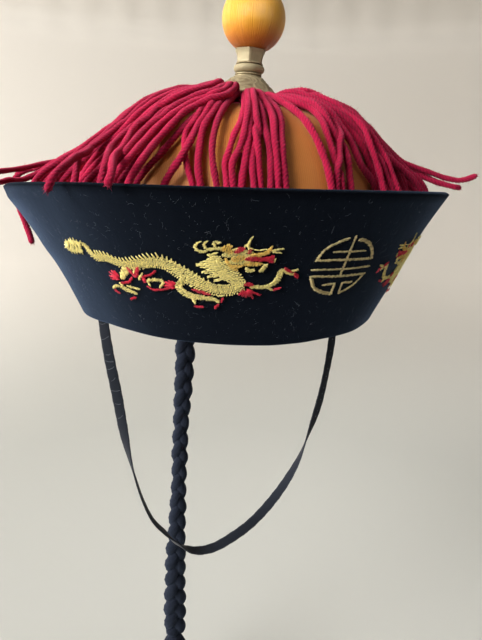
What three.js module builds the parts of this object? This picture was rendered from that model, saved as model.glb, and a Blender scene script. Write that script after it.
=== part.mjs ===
// Mandarin hat: upturned black velvet brim, orange satin crown, crimson yarn fringe, brass finial with a
// thread-wound ball, chin strap and a long plait at the back.
// Millimetres, +Z up. The wearer's front is -Y, and the origin is the centre of the head opening, in the plane of
// the brim's lower edge. Side angles are in degrees from the front, positive towards +X, the wearer's left.

import * as THREE from "three";

// Driving dimensions
const BRIM_BOTTOM_RADIUS = 93.2;
const BRIM_TOP_RADIUS = 133.6;
const BRIM_HEIGHT = 74;
const BRIM_THICKNESS = 3;
const BRIM_BOTTOM_OVAL = 1.04; // length front to back over width
const BRIM_TOP_OVAL = 1.05;
const BRIM_BACK_LEAN = 7; // how far the top edge's centre lies behind the opening's centre
const BRIM_STRAIGHTNESS = 0.9; // 1 is a straight cone, less curls outwards towards the top

const CROWN_RADIUS = 89;
const CROWN_HEIGHT = 121;
const CROWN_WALL_HEIGHT = 50; // upright part below the dome
const CROWN_THICKNESS = 2;
const CROWN_HEM = 1.2; // height of the crown's lower edge above the brim's
const CROWN_FULLNESS = 3.6; // exponent of the dome's outline

const FINIAL_LEAN = 5.3; // degrees
const LEAN_AZIMUTH = 61.5; // side angle that the finial leans to
const APEX_SHIFT = 5.2; // how far the crown's top is pulled the same way
const POST_RADIUS = 2;
const POST_CLEARANCE = 0.3;
const CROWN_HOLE_RADIUS = 3.2; // the leaning post passes with room to spare
const GAP = 0.3; // between pieces that touch

const STRAP_WIDTH = 6;
const STRAP_THICKNESS = 1.5;
const BRAID_RADIUS = 6.8;

const ROUND_STEPS = 80; // sections round the brim and crown
const FRINGE_STEPS = 144;
const FINIAL_STEPS = 28;

const COLOURS = {
  velvet: 0x0b0e14,
  satin: 0xc8802f,
  yarn: 0xb41f3c,
  brass: 0x96875f,
  goldThread: 0xe6ac38,
  blackCord: 0x22262c,
};

const degrees = THREE.MathUtils.degToRad;
const lerp = THREE.MathUtils.lerp;

function material(colour, roughness, metalness = 0) {
  return new THREE.MeshStandardMaterial({ color: colour, roughness, metalness });
}

const velvet = material(COLOURS.velvet, 0.95);
const satin = material(COLOURS.satin, 0.45);
const yarn = material(COLOURS.yarn, 0.9);
const brass = material(COLOURS.brass, 0.38, 1);
const goldThread = material(COLOURS.goldThread, 0.4);
const blackCord = material(COLOURS.blackCord, 0.85);

// A closed band round the opening. outlineAt(side angle) gives the same number of points at every section, going
// round the wall, each with radius, z, oval and the shift of its own centre.
function ringSolid(outlineAt, steps) {
  const sections = Array.from({ length: steps }, (_, i) => outlineAt((360 * i) / steps));
  const count = sections[0].length;
  const positions = [];
  sections.forEach((outline, i) => {
    const angle = degrees((360 * i) / steps);
    for (const { radius, z, oval = 1, shiftX = 0, shiftY = 0 } of outline) {
      const stretch = Math.sqrt(oval);
      positions.push((radius / stretch) * Math.sin(angle) + shiftX, -radius * stretch * Math.cos(angle) + shiftY, z);
    }
  });
  const faces = [];
  for (let i = 0; i < steps; i += 1) {
    const next = (i + 1) % steps;
    for (let j = 0; j < count; j += 1) {
      const after = (j + 1) % count;
      const [a, b] = [i * count + j, i * count + after];
      const [c, d] = [next * count + j, next * count + after];
      faces.push(a, c, b, b, c, d);
    }
  }
  const geometry = new THREE.BufferGeometry();
  geometry.setAttribute("position", new THREE.Float32BufferAttribute(positions, 3));
  geometry.setIndex(faces);
  return geometry;
}

// Value of a column of a table at a place between its rows.
function readTable(rows, place, key, column) {
  let upper = rows.findIndex((row) => row[key] >= place);
  if (upper < 0) upper = rows.length - 1;
  const lower = Math.max(upper - 1, 0);
  const span = rows[upper][key] - rows[lower][key];
  const share = span > 0 ? Math.min((place - rows[lower][key]) / span, 1) : 0;
  return lerp(rows[lower][column], rows[upper][column], share);
}

function evenly(count, make) {
  return Array.from({ length: count }, (_, i) => make(i / (count - 1)));
}

// The crown's top is pulled sideways by the finial that leans on it, more the higher it is.
function crownShift(z) {
  const pull = APEX_SHIFT * Math.max(z / CROWN_HEIGHT, 0) ** 2;
  return { shiftX: pull * Math.sin(degrees(LEAN_AZIMUTH)), shiftY: -pull * Math.cos(degrees(LEAN_AZIMUTH)) };
}

// The brim: one wall that stands up round the crown and flares, rounded along both edges.
function brimPoint(rise, inset) {
  const flare = BRIM_STRAIGHTNESS * rise + (1 - BRIM_STRAIGHTNESS) * rise * rise;
  return {
    radius: lerp(BRIM_BOTTOM_RADIUS, BRIM_TOP_RADIUS, flare) - inset,
    z: BRIM_HEIGHT * rise,
    oval: lerp(BRIM_BOTTOM_OVAL, BRIM_TOP_OVAL, flare),
    shiftY: BRIM_BACK_LEAN * flare,
  };
}

function brimGeometry() {
  const wall = [0.02, 0.25, 0.5, 0.75, 0.975];
  const outline = [
    ...wall.map((rise) => brimPoint(rise, 0)),
    brimPoint(1, BRIM_THICKNESS * 0.3),
    brimPoint(1, BRIM_THICKNESS * 0.75),
    ...[...wall].reverse().map((rise) => brimPoint(rise, BRIM_THICKNESS)),
    brimPoint(0, BRIM_THICKNESS * 0.7),
    brimPoint(0, BRIM_THICKNESS * 0.3),
  ];
  return ringSolid(() => outline, ROUND_STEPS);
}

// The crown's dome, as the height over a radius.
function domeHeight(radius, outerRadius, topHeight) {
  const share = Math.min(radius / outerRadius, 1) ** CROWN_FULLNESS;
  return CROWN_WALL_HEIGHT + (topHeight - CROWN_WALL_HEIGHT) * Math.sqrt(1 - share);
}

function crownWall(inset) {
  const outerRadius = CROWN_RADIUS - inset;
  const topHeight = CROWN_HEIGHT - inset;
  const rounds = [1, 0.992, 0.965, 0.92, 0.85, 0.72, 0.55, 0.35, 0.16];
  const levels = [
    { radius: outerRadius, z: CROWN_HEM },
    ...rounds.map((share) => ({
      radius: outerRadius * share,
      z: domeHeight(outerRadius * share, outerRadius, topHeight),
    })),
    { radius: CROWN_HOLE_RADIUS, z: topHeight },
  ];
  return levels.map(({ radius, z }) => ({
    radius,
    z,
    oval: lerp(BRIM_BOTTOM_OVAL, 1, z / CROWN_HEIGHT),
    ...crownShift(z),
  }));
}

function crownGeometry() {
  const outline = [...crownWall(0), ...crownWall(CROWN_THICKNESS).reverse()];
  return ringSolid(() => outline, ROUND_STEPS);
}

// The fringe's upper surface and its depth, from the finial outwards. Strands that are held clear of the crown
// run out over the brim, and the others drop between the crown and the brim.
const OVER_BRIM = [
  { reach: 0, radius: 3.4, top: 124.9, depth: 3.5 },
  { reach: 0.12, radius: 22.5, top: 125, depth: 3.4 },
  { reach: 0.17, radius: 28, top: 132, depth: 10 },
  { reach: 0.25, radius: 36, top: 134, depth: 12 },
  { reach: 0.35, radius: 50, top: 130, depth: 11 },
  { reach: 0.46, radius: 66, top: 122, depth: 9 },
  { reach: 0.58, radius: 81, top: 110, depth: 9 },
  { reach: 0.69, radius: 95, top: 98, depth: 9 },
  { reach: 0.8, radius: 112, top: 90.5, depth: 8 },
  { reach: 0.9, radius: 130, top: 85.5, depth: 7 },
  { reach: 1, radius: 147, top: 83, depth: 6 },
];
const INTO_TROUGH = [
  ...OVER_BRIM.slice(0, 5),
  { reach: 0.46, radius: 65, top: 121, depth: 8 },
  { reach: 0.58, radius: 80, top: 110, depth: 8 },
  { reach: 0.69, radius: 91.5, top: 97, depth: 11 },
  { reach: 0.8, radius: 99, top: 81, depth: 11 },
  { reach: 0.9, radius: 103, top: 65, depth: 12 },
  { reach: 1, radius: 104, top: 54, depth: 12.5 },
];

// Sides where strands lie over the brim, and gaps where the crown shows between the strands.
const SPREAD_SIDES = [
  { side: -112, halfWidth: 52 },
  { side: 66, halfWidth: 44 },
  { side: 176, halfWidth: 16 },
];
const FRINGE_GAPS = [
  { side: -57, halfWidth: 9, reach: 0.5 },
  { side: -38, halfWidth: 4.5, reach: 0.62 },
  { side: -4, halfWidth: 9, reach: 0.42 },
  { side: 19, halfWidth: 4.5, reach: 0.7 },
  { side: 118, halfWidth: 7, reach: 0.6 },
  { side: 152, halfWidth: 7, reach: 0.66 },
  { side: -168, halfWidth: 7, reach: 0.6 },
  { side: -84, halfWidth: 4.5, reach: 0.75 },
  { side: 44, halfWidth: 4.5, reach: 0.75 },
];

function awayFrom(side, centre) {
  return Math.abs(THREE.MathUtils.euclideanModulo(side - centre + 180, 360) - 180);
}

function fringeSection(side) {
  const spread = Math.max(
    ...SPREAD_SIDES.map((row) => 1 - THREE.MathUtils.smoothstep(awayFrom(side, row.side), row.halfWidth, row.halfWidth + 12)),
  );
  const reach = Math.min(
    ...FRINGE_GAPS.map((row) => lerp(row.reach, 1, THREE.MathUtils.smoothstep(awayFrom(side, row.side), row.halfWidth * 0.3, row.halfWidth * 1.7))),
  );
  const column = (place, name) => lerp(
    readTable(INTO_TROUGH, place, "reach", name),
    readTable(OVER_BRIM, place, "reach", name),
    spread,
  );
  const hump = OVER_BRIM.slice(0, 4).map((row) => row.reach);
  const outwards = evenly(8, (share) => lerp(hump[3], reach, share)).slice(1);
  const surface = [...hump, ...outwards].map((place) => {
    const z = column(place, "top");
    return { radius: column(place, "radius"), z, depth: column(place, "depth"), oval: 1, ...crownShift(z) };
  });
  const steep = (1 - spread) * THREE.MathUtils.smoothstep(reach, 0.6, 0.9);
  const under = surface.map((point, i) => {
    const slant = degrees(62) * steep * THREE.MathUtils.smoothstep(i, 5, 10);
    return { ...point, radius: point.radius - point.depth * Math.sin(slant), z: point.z - point.depth * Math.cos(slant) };
  });
  return [...under, ...surface.reverse()];
}

// Finial pieces are turned shapes with a bore for the post, from outlines of radius and height over the crown.
function turned(outline, steps = FINIAL_STEPS) {
  const points = [...outline, outline[0]].map(([radius, height]) => new THREE.Vector2(radius, height));
  return new THREE.LatheGeometry(points, steps);
}

const BORE = POST_RADIUS + POST_CLEARANCE;
const FINIAL_BASE = 127.6; // height of the finial's lower edge over the opening
const DOME = { rimRadius: 20.5, neckRadius: 6.8, shoulderHeight: 11.6, height: 13.6, wall: 1.2 };
const COLLAR = { radius: 8.7, height: 4.6 };
const CALYX = { footRadius: 8.2, lipRadius: 9.6, height: 7.2, cupDepth: 0.8, petals: 6, boreRadius: 2.8 };
const BALL = { radius: 18.7, seatRadius: 8.4, boreDepth: 12 };

function finialDomeGeometry() {
  const { rimRadius, neckRadius, shoulderHeight, height, wall } = DOME;
  const slope = [
    { share: 0, rise: 0 },
    { share: 0.16, rise: 0.2 },
    { share: 0.38, rise: 0.5 },
    { share: 0.68, rise: 0.8 },
    { share: 1, rise: 1 },
  ];
  const outer = slope.map(({ share, rise }) => [lerp(rimRadius, neckRadius + 0.4, share), shoulderHeight * rise]);
  const inner = slope.slice(0, 4).map(({ share, rise }) => [
    lerp(rimRadius - wall, neckRadius - 1.5, share), (shoulderHeight - 1.6) * rise,
  ]);
  return turned([
    ...outer,
    [neckRadius, shoulderHeight + 0.4],
    [neckRadius, height],
    [BORE, height],
    [BORE, shoulderHeight - wall],
    ...inner.reverse(),
  ]);
}

function collarGeometry() {
  const { radius, height } = COLLAR;
  const bead = [-70, -35, 0, 35, 70].map((angle) => [
    radius - height / 2 + (height / 2) * Math.cos(degrees(angle)), height / 2 + (height / 2) * Math.sin(degrees(angle)),
  ]);
  return turned([[BORE, 0], [radius - height / 2, 0], ...bead, [radius - height / 2, height], [BORE, height]]);
}

// The calyx is a six-sided tulip cup: six flat petals that lean outwards.
function calyxGeometry() {
  const { footRadius, lipRadius, height, cupDepth, petals, boreRadius } = CALYX;
  return turned([
    [boreRadius, 0], [footRadius, 0], [lerp(footRadius, lipRadius, 0.25), height * 0.45], [lipRadius, height],
    [lipRadius - 1.6, height], [lipRadius - 3.2, height - cupDepth], [boreRadius, height - cupDepth],
  ], petals);
}

function ballGeometry() {
  const { radius, seatRadius, boreDepth } = BALL;
  const seatAngle = Math.asin(seatRadius / radius);
  const outer = evenly(13, (share) => {
    const angle = lerp(seatAngle, Math.PI, share);
    return [radius * Math.sin(angle), radius - radius * Math.cos(angle)];
  });
  outer[outer.length - 1][0] = 0;
  const seat = outer[0][1];
  const points = [[0, seat + boreDepth], [BORE, seat + boreDepth], [BORE, seat], ...outer];
  return new THREE.LatheGeometry(points.map(([x, y]) => new THREE.Vector2(x, y)), FINIAL_STEPS);
}

function postGeometry(length) {
  const headRadius = 5;
  const headHeight = 2;
  const outline = [[0, -headHeight], [headRadius, -headHeight], [headRadius, 0], [POST_RADIUS, 0],
    [POST_RADIUS, length], [0, length]];
  return new THREE.LatheGeometry(outline.map(([x, y]) => new THREE.Vector2(x, y)), 16);
}

// A lathe stands along Y; the finial's pieces stand along Z.
function upright(geometry) {
  return geometry.rotateX(Math.PI / 2);
}

function piece(name, geometry, finish, height = 0) {
  const mesh = new THREE.Mesh(geometry, finish);
  mesh.name = name;
  mesh.position.z = height;
  return mesh;
}

function finial() {
  const group = new THREE.Group();
  const domeFoot = 0;
  const collarFoot = domeFoot + DOME.height + GAP;
  const calyxFoot = collarFoot + COLLAR.height + GAP;
  const ballSeat = BALL.radius - Math.sqrt(BALL.radius ** 2 - BALL.seatRadius ** 2);
  const ballFoot = calyxFoot + CALYX.height + GAP - ballSeat;
  const postFoot = CROWN_HEIGHT - CROWN_THICKNESS - 3 * GAP - FINIAL_BASE;
  const postLength = ballFoot + ballSeat + BALL.boreDepth - 1 - postFoot;
  group.add(
    piece("finial_dome", upright(finialDomeGeometry()), brass, domeFoot),
    piece("finial_collar", upright(collarGeometry()), brass, collarFoot),
    piece("finial_calyx", upright(calyxGeometry()), brass, calyxFoot),
    piece("finial_ball", upright(ballGeometry()), goldThread, ballFoot),
    piece("finial_post", upright(postGeometry(postLength)), brass, postFoot),
  );
  const { shiftX, shiftY } = crownShift(CROWN_HEIGHT);
  group.position.set(shiftX, shiftY, FINIAL_BASE);
  const acrossLean = new THREE.Vector3(Math.cos(degrees(LEAN_AZIMUTH)), Math.sin(degrees(LEAN_AZIMUTH)), 0);
  group.rotateOnAxis(acrossLean, degrees(FINIAL_LEAN));
  return group;
}

// A cord's tube: the section is swept along a smooth curve through the points of its route.
function cordGeometry(route, section, stepLength) {
  const curve = new THREE.CatmullRomCurve3(route.map((point) => new THREE.Vector3(...point)), false, "centripetal");
  const steps = Math.round(curve.getLength() / stepLength);
  return new THREE.ExtrudeGeometry(section, { steps, bevelEnabled: false, extrudePath: curve });
}

function ovalSection(halfX, halfY, sides) {
  return new THREE.Shape(Array.from({ length: sides }, (_, i) => {
    const angle = (2 * Math.PI * (i + 0.5)) / sides;
    return new THREE.Vector2(halfX * Math.cos(angle), halfY * Math.sin(angle));
  }));
}

// Chin strap: a loop from one side of the crown, under the chin and up to the other side.
const STRAP_ROUTE = [
  [-83.4, 2.5, 16], [-83.4, 2.5, -2], [-80.6, 2.4, -26], [-76.4, 2.1, -51], [-70.3, 1.8, -90], [-65.8, 1.6, -110],
  [-59.8, 1.3, -131], [-53.2, 1.0, -147], [-43.5, 0.5, -161], [-33.5, 0, -171.5], [-22, -0.6, -178.5],
  [-9.5, -1.3, -180], [4, -2, -176.5], [22.5, -2.9, -167.5], [43.5, -4, -148.5], [59.5, -4.8, -125.5],
  [68.5, -5.2, -103], [75, -5.6, -83], [80, -5.9, -58], [83, -6, -34], [83.4, -6, -8], [83.4, -6, 16],
];

// Plait: hangs from inside the back of the crown.
const BRAID_ROUTE = [
  [3.8, 78.5, 12], [3.8, 78.5, -10], [3.4, 78.3, -48], [2.2, 78, -79], [0.8, 78, -103], [-0.6, 78, -131], [-1.4, 78, -162],
  [-2.6, 78, -195], [-3.8, 78, -229], [-4.5, 78, -258], [-4.8, 78, -288], [-4.8, 78, -317],
];

const TIE = { radius: 5.2, height: 7 };
const TUFT = { length: 44, neckRadius: 5.4, widestRadius: 12 };

function tieGeometry() {
  const { radius, height } = TIE;
  return new THREE.LatheGeometry([[0, 0], [radius - 0.8, 0], [radius, height / 2], [radius - 0.8, height], [0, height]]
    .map(([x, y]) => new THREE.Vector2(x, y)), 12);
}

function tuftGeometry() {
  const { length, neckRadius, widestRadius } = TUFT;
  return new THREE.LatheGeometry([[0, 0], [widestRadius * 0.55, 0.5], [widestRadius * 0.9, length * 0.2],
    [widestRadius, length * 0.5], [widestRadius * 0.85, length * 0.8], [neckRadius, length], [0, length]]
    .map(([x, y]) => new THREE.Vector2(x, y)), 12);
}

function cords() {
  const group = new THREE.Group();
  const [endX, endY, endZ] = BRAID_ROUTE[BRAID_ROUTE.length - 1];
  const strapSection = ovalSection(STRAP_WIDTH / 2, STRAP_THICKNESS / 2, 8);
  const braidSection = ovalSection(BRAID_RADIUS, BRAID_RADIUS, 10);
  const tie = piece("braid_tie", upright(tieGeometry()), blackCord, endZ - GAP - TIE.height);
  const tuft = piece("braid_tuft", upright(tuftGeometry()), blackCord, endZ - 2 * GAP - TIE.height - TUFT.length);
  for (const mesh of [tie, tuft]) {
    mesh.position.x = endX;
    mesh.position.y = endY;
  }
  group.add(
    piece("chin_strap", cordGeometry(STRAP_ROUTE, strapSection, 12), blackCord),
    piece("braid", cordGeometry(BRAID_ROUTE, braidSection, 24), blackCord),
    tie,
    tuft,
  );
  return group;
}

const hat = new THREE.Group();
hat.add(
  piece("brim", brimGeometry(), velvet),
  piece("crown", crownGeometry(), satin),
  piece("fringe", ringSolid(fringeSection, FRINGE_STEPS), yarn),
  finial(),
  cords(),
);

export default hat;
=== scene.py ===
"""Mandarin hat: black velvet brim with embroidery, orange satin crown, crimson yarn fringe, brass finial
with a thread-wound ball, chin strap and a long plait.

Metres, +Z up, the wearer's front is -Y. Tables of points are in millimetres. Side angles are in degrees
from the front, positive towards +X, the wearer's left."""

import math

import bpy
import numpy as np
from bpy.props import FloatProperty, FloatVectorProperty, IntProperty, PointerProperty
from mathutils import Matrix, Vector, kdtree


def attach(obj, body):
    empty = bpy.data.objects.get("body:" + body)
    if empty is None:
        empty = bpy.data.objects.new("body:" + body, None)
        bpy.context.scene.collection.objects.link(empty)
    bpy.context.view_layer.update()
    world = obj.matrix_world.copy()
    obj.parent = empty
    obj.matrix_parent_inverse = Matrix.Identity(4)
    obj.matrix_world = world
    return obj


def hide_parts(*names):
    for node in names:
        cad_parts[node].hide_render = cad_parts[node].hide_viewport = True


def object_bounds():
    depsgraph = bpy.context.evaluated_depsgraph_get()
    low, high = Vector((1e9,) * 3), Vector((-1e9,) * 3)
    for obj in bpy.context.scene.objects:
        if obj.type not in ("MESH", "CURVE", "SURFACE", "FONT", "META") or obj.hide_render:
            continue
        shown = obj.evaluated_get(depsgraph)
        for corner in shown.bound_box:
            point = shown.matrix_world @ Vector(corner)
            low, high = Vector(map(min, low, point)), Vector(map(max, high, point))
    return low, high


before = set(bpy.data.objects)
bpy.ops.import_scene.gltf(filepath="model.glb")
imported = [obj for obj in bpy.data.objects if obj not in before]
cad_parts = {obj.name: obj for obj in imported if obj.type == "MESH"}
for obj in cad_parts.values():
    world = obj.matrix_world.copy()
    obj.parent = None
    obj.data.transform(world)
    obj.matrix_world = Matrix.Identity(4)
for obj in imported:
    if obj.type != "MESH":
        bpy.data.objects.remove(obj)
CAD_BOX = [list(corner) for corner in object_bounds()]

bl_info = {
    "name": "Mandarin hat",
    "version": (1, 0, 0),
    "blender": (4, 5, 0),
    "location": "3D View > Sidebar > Hat",
    "description": "Makes a mandarin hat round its CAD model, piece by piece",
    "category": "Add Mesh",
}

MM = 0.001

# The finial leans towards this side angle, and pulls the crown's top along by so many mm.
LEAN_SIDE = 61.5
APEX_PULL = 5.2

# The crown's top and the upper end of its upright wall, in mm, and the exponent of the dome's outline.
CROWN_TOP = 121
CROWN_WALL_HEIGHT = 50.0
CROWN_FULLNESS = 3.6

# The crown's foot in mm: the height it spreads below, its own radius and the radius it spreads to.
FOOT_HEIGHT = 16
FOOT_INSIDE = 88.7
FOOT_OUTSIDE = 92.1

# The brim in mm: mean radius at its foot, how much wider it is above, its height, and how far it leans back.
BRIM_FOOT = 93.2
BRIM_SPREAD = 40.4
BRIM_RISE = 74
BRIM_LEAN = 7

# The chart of the embroidery: mm round the brim for each degree, and mm up its slope from edge to edge.
CHART_DEGREE = 1.972
CHART_HEIGHT = 84.3


def srgb(red, green, blue):
    """Linear colour from the 0 to 255 values of a screen."""
    shares = [value / 255 for value in (red, green, blue)]
    return tuple(share / 12.92 if share <= 0.04045 else ((share + 0.055) / 1.055) ** 2.4
                 for share in shares)


def length_property(name, description, default):
    return FloatProperty(name=name, description=description, default=default, unit="LENGTH",
                         subtype="DISTANCE", precision=4)


def colour_property(name, description, default):
    return FloatVectorProperty(name=name, description=description, default=default, size=3, min=0, max=1,
                               subtype="COLOR")


def angle_property(name, description, degrees):
    return FloatProperty(name=name, description=description, default=math.radians(degrees), subtype="ANGLE",
                         unit="ROTATION")


class HatSizes(bpy.types.PropertyGroup):
    brim_bottom_radius: length_property("Brim bottom radius", "Mean radius of the brim's lower edge", 0.0932)
    brim_top_radius: length_property("Brim top radius", "Mean radius of the brim's upper edge", 0.1336)
    brim_height: length_property("Brim height", "Upright height of the brim", 0.074)
    brim_thickness: length_property("Brim thickness", "Wall of the velvet brim", 0.003)
    brim_lean: length_property("Brim lean", "How far the upper edge's centre lies behind", 0.007)
    crown_radius: length_property("Crown radius", "Outer radius of the crown", 0.089)
    crown_height: length_property("Crown height", "Height of the crown's top", 0.121)
    crown_thickness: length_property("Crown thickness", "Wall of the satin crown", 0.002)
    yarn_diameter: length_property("Yarn diameter", "Diameter of one yarn of the fringe", 0.0037)
    ply_length: length_property("Ply length", "Length of one full turn of a yarn's plies", 0.0084)
    strap_width: length_property("Strap width", "Width of the chin strap's tape", 0.0068)
    strap_thickness: length_property("Strap thickness", "Thickness of the chin strap's tape", 0.0013)
    braid_diameter: length_property("Plait diameter", "Mean diameter of the plait", 0.0136)
    braid_pitch: length_property("Plait pitch", "Length of one full weave of the plait", 0.045)
    stitch_width: length_property("Stitch width", "Width of one embroidery stitch", 0.00062)
    stitch_height: length_property("Stitch height", "How far a stitch stands off the velvet", 0.00042)


class HatColours(bpy.types.PropertyGroup):
    velvet: colour_property("Velvet", "Base of the brim's velvet", srgb(2, 3, 5))
    velvet_sheen: colour_property("Velvet sheen", "Light on the velvet's nap", srgb(130, 154, 192))
    satin: colour_property("Satin", "Crown, in the light", srgb(206, 130, 60))
    satin_shade: colour_property("Satin shade", "Crown, in the shade of its ribs", srgb(178, 104, 44))
    yarn: colour_property("Yarn", "Crimson yarn", srgb(186, 24, 66))
    yarn_shade: colour_property("Yarn shade", "Crimson yarn between its plies", srgb(102, 10, 38))
    brass: colour_property("Brass", "Rubbed brass", srgb(172, 161, 128))
    brass_shade: colour_property("Brass shade", "Brass in its hollows", srgb(112, 96, 72))
    floss: colour_property("Ball thread", "Gold floss of the ball", srgb(240, 180, 52))
    floss_shade: colour_property("Ball thread shade", "Gold floss between its threads", srgb(226, 150, 34))
    # Painted shade: the floss turns to this darker orange towards the ball's foot.
    floss_foot_shade: colour_property("Ball thread below", "Gold floss round the ball's foot", srgb(206, 112, 34))
    gold: colour_property("Gold stitches", "Pale gold of the dragons", srgb(255, 238, 150))
    ochre: colour_property("Ochre stitches", "Darker gold of the dragons' faces", srgb(252, 210, 104))
    khaki: colour_property("Khaki stitches", "Muted gold of the round ornament", srgb(228, 208, 150))
    red: colour_property("Red stitches", "Red of claws, mouths and flames", srgb(214, 32, 62))
    black: colour_property("Black yarn", "Plait, tie and tuft", srgb(32, 37, 49))
    tape: colour_property("Black tape", "Chin strap", srgb(26, 30, 38))
    lint: colour_property("Lint", "Pale fibres on the velvet", srgb(142, 147, 158))
    floor: colour_property("Floor", "Plain pale floor", srgb(230, 226, 220))
    surroundings: colour_property("Surroundings", "Pale light from all round", srgb(224, 223, 221))


class HatStage(bpy.types.PropertyGroup):
    camera_place: FloatVectorProperty(name="Camera place", description="Where the camera stands", size=3,
                                      default=(-0.1723, -0.3173, 0.0752), subtype="TRANSLATION",
                                      unit="LENGTH")
    camera_heading: angle_property("Camera heading", "Turn of the camera about the hat", -28.5)
    camera_pitch: angle_property("Camera pitch", "How far the camera looks down", 13.48)
    camera_yaw: angle_property("Camera yaw", "How far the camera looks to its right", 1.27)
    camera_roll: angle_property("Camera roll", "Turn of the camera about its own line of sight", 1.85)
    lens: FloatProperty(name="Lens", description="Focal length in mm on a 36 mm sensor", default=31.5, min=1)
    key_power: FloatProperty(name="Key light", description="Power of the large light", default=6.8, min=0,
                             unit="POWER")
    fill_power: FloatProperty(name="Fill light", description="Power of the second light", default=0.8, min=0,
                              unit="POWER")
    backdrop_power: FloatProperty(name="Backdrop light", description="Power of the light on the backdrop",
                                  default=56, min=0, unit="POWER")
    surroundings_strength: FloatProperty(name="Surroundings", description="Strength of the light all round",
                                         default=0.66, min=0)
    seed: IntProperty(name="Seed", description="Start of the random draws", default=7, min=0)


# Small helpers for meshes


def deselect_all():
    if bpy.context.object and bpy.context.object.mode != "OBJECT":
        bpy.ops.object.mode_set(mode="OBJECT")
    bpy.ops.object.select_all(action="DESELECT")


def pick(piece):
    """Makes a piece the active one, and the only one selected."""
    deselect_all()
    bpy.context.view_layer.objects.active = piece
    piece.select_set(True)


def loft(name, rings, steps):
    """A skin drawn up by hand from a circle: rings are (half width, half length, centre), bottom to top."""
    deselect_all()
    half_width, half_length, centre = rings[0]
    bpy.ops.mesh.primitive_circle_add(vertices=steps, radius=1, location=(0, 0, 0))
    piece = bpy.context.object
    piece.name = name
    bpy.ops.object.mode_set(mode="EDIT")
    bpy.ops.mesh.select_all(action="SELECT")
    bpy.ops.transform.resize(value=(half_width, half_length, 1), center_override=(0, 0, 0))
    bpy.ops.transform.translate(value=centre)
    for (old_width, old_length, old_centre), (width, length, new_centre) in zip(rings, rings[1:]):
        bpy.ops.mesh.extrude_region_move()
        bpy.ops.transform.resize(value=(width / old_width, length / old_length, 1),
                                 center_override=old_centre)
        bpy.ops.transform.translate(value=Vector(new_centre) - Vector(old_centre))
    bpy.ops.mesh.select_all(action="SELECT")
    bpy.ops.mesh.remove_doubles(threshold=1e-6)
    bpy.ops.mesh.normals_make_consistent(inside=False)
    bpy.ops.object.mode_set(mode="OBJECT")
    return piece


def fill_open_ends(piece):
    """Closes a lofted skin's first and last ring, each with a point in its middle."""
    pick(piece)
    bpy.ops.object.mode_set(mode="EDIT")
    bpy.ops.mesh.select_all(action="DESELECT")
    bpy.ops.mesh.select_mode(type="EDGE")
    bpy.ops.mesh.select_non_manifold()
    bpy.ops.mesh.edge_face_add()
    bpy.ops.mesh.select_mode(type="FACE")
    bpy.ops.mesh.poke()
    bpy.ops.mesh.select_mode(type="VERT")
    bpy.ops.mesh.select_all(action="SELECT")
    bpy.ops.mesh.normals_make_consistent(inside=False)
    bpy.ops.object.mode_set(mode="OBJECT")


def apply_modifier(piece, kind, **settings):
    pick(piece)
    modifier = piece.modifiers.new(kind.title(), kind)
    for key, value in settings.items():
        setattr(modifier, key, value)
    bpy.ops.object.modifier_apply(modifier=modifier.name)


def shade(piece, angle=50):
    pick(piece)
    bpy.ops.object.shade_smooth_by_angle(angle=math.radians(angle))


def points_of(piece):
    points = np.empty(len(piece.data.vertices) * 3)
    piece.data.vertices.foreach_get("co", points)
    return points.reshape(-1, 3)


def set_points(piece, points):
    piece.data.vertices.foreach_set("co", np.asarray(points, float).ravel())
    piece.data.update()


def set_values(piece, name, values):
    attribute = piece.data.attributes.new(name, "FLOAT", "POINT")
    attribute.data.foreach_set("value", np.asarray(values, float).ravel())


def wrap_map(piece, around, upwards):
    """A UV map from each point's share round the piece and its share upwards, with a clean seam."""
    corners = np.empty(len(piece.data.loops), int)
    piece.data.loops.foreach_get("vertex_index", corners)
    layer = piece.data.uv_layers.get("UVMap") or piece.data.uv_layers.new(name="UVMap")
    uv = np.stack([around[corners], upwards[corners]], axis=1)
    starts = np.empty(len(piece.data.polygons), int)
    totals = np.empty(len(piece.data.polygons), int)
    piece.data.polygons.foreach_get("loop_start", starts)
    piece.data.polygons.foreach_get("loop_total", totals)
    owner = np.repeat(np.arange(len(starts)), totals)
    highest = np.full(len(starts), -1.0)
    np.maximum.at(highest, owner, uv[:, 0])
    uv[:, 0] += (highest[owner] - uv[:, 0]) > 0.5
    layer.data.foreach_set("uv", uv.ravel())


class Heap:
    """Points, faces and point values of many small parts that become one mesh."""

    def __init__(self):
        self.points, self.quads, self.triangles, self.values = [], [], [], {}
        self.count = 0

    def add(self, points, quads, triangles, **values):
        self.points.append(points)
        self.quads.append(np.asarray(quads, int).reshape(-1, 4) + self.count)
        self.triangles.append(np.asarray(triangles, int).reshape(-1, 3) + self.count)
        for name, value in values.items():
            self.values.setdefault(name, []).append(np.broadcast_to(value, len(points)))
        self.count += len(points)

    def piece(self, name):
        points, quads = np.concatenate(self.points), np.concatenate(self.quads)
        triangles = np.concatenate(self.triangles)
        mesh = bpy.data.meshes.new(name)
        mesh.vertices.add(len(points))
        mesh.vertices.foreach_set("co", points.ravel())
        mesh.loops.add(quads.size + triangles.size)
        mesh.loops.foreach_set("vertex_index", np.concatenate([quads.ravel(), triangles.ravel()]))
        mesh.polygons.add(len(quads) + len(triangles))
        starts = [np.arange(len(quads)) * 4, quads.size + np.arange(len(triangles)) * 3]
        mesh.polygons.foreach_set("loop_start", np.concatenate(starts))
        mesh.polygons.foreach_set("use_smooth", np.ones(len(mesh.polygons), bool))
        mesh.update(calc_edges=True)
        piece = bpy.data.objects.new(name, mesh)
        bpy.context.scene.collection.objects.link(piece)
        for key, parts in self.values.items():
            set_values(piece, key, np.concatenate(parts))
        return piece


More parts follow.
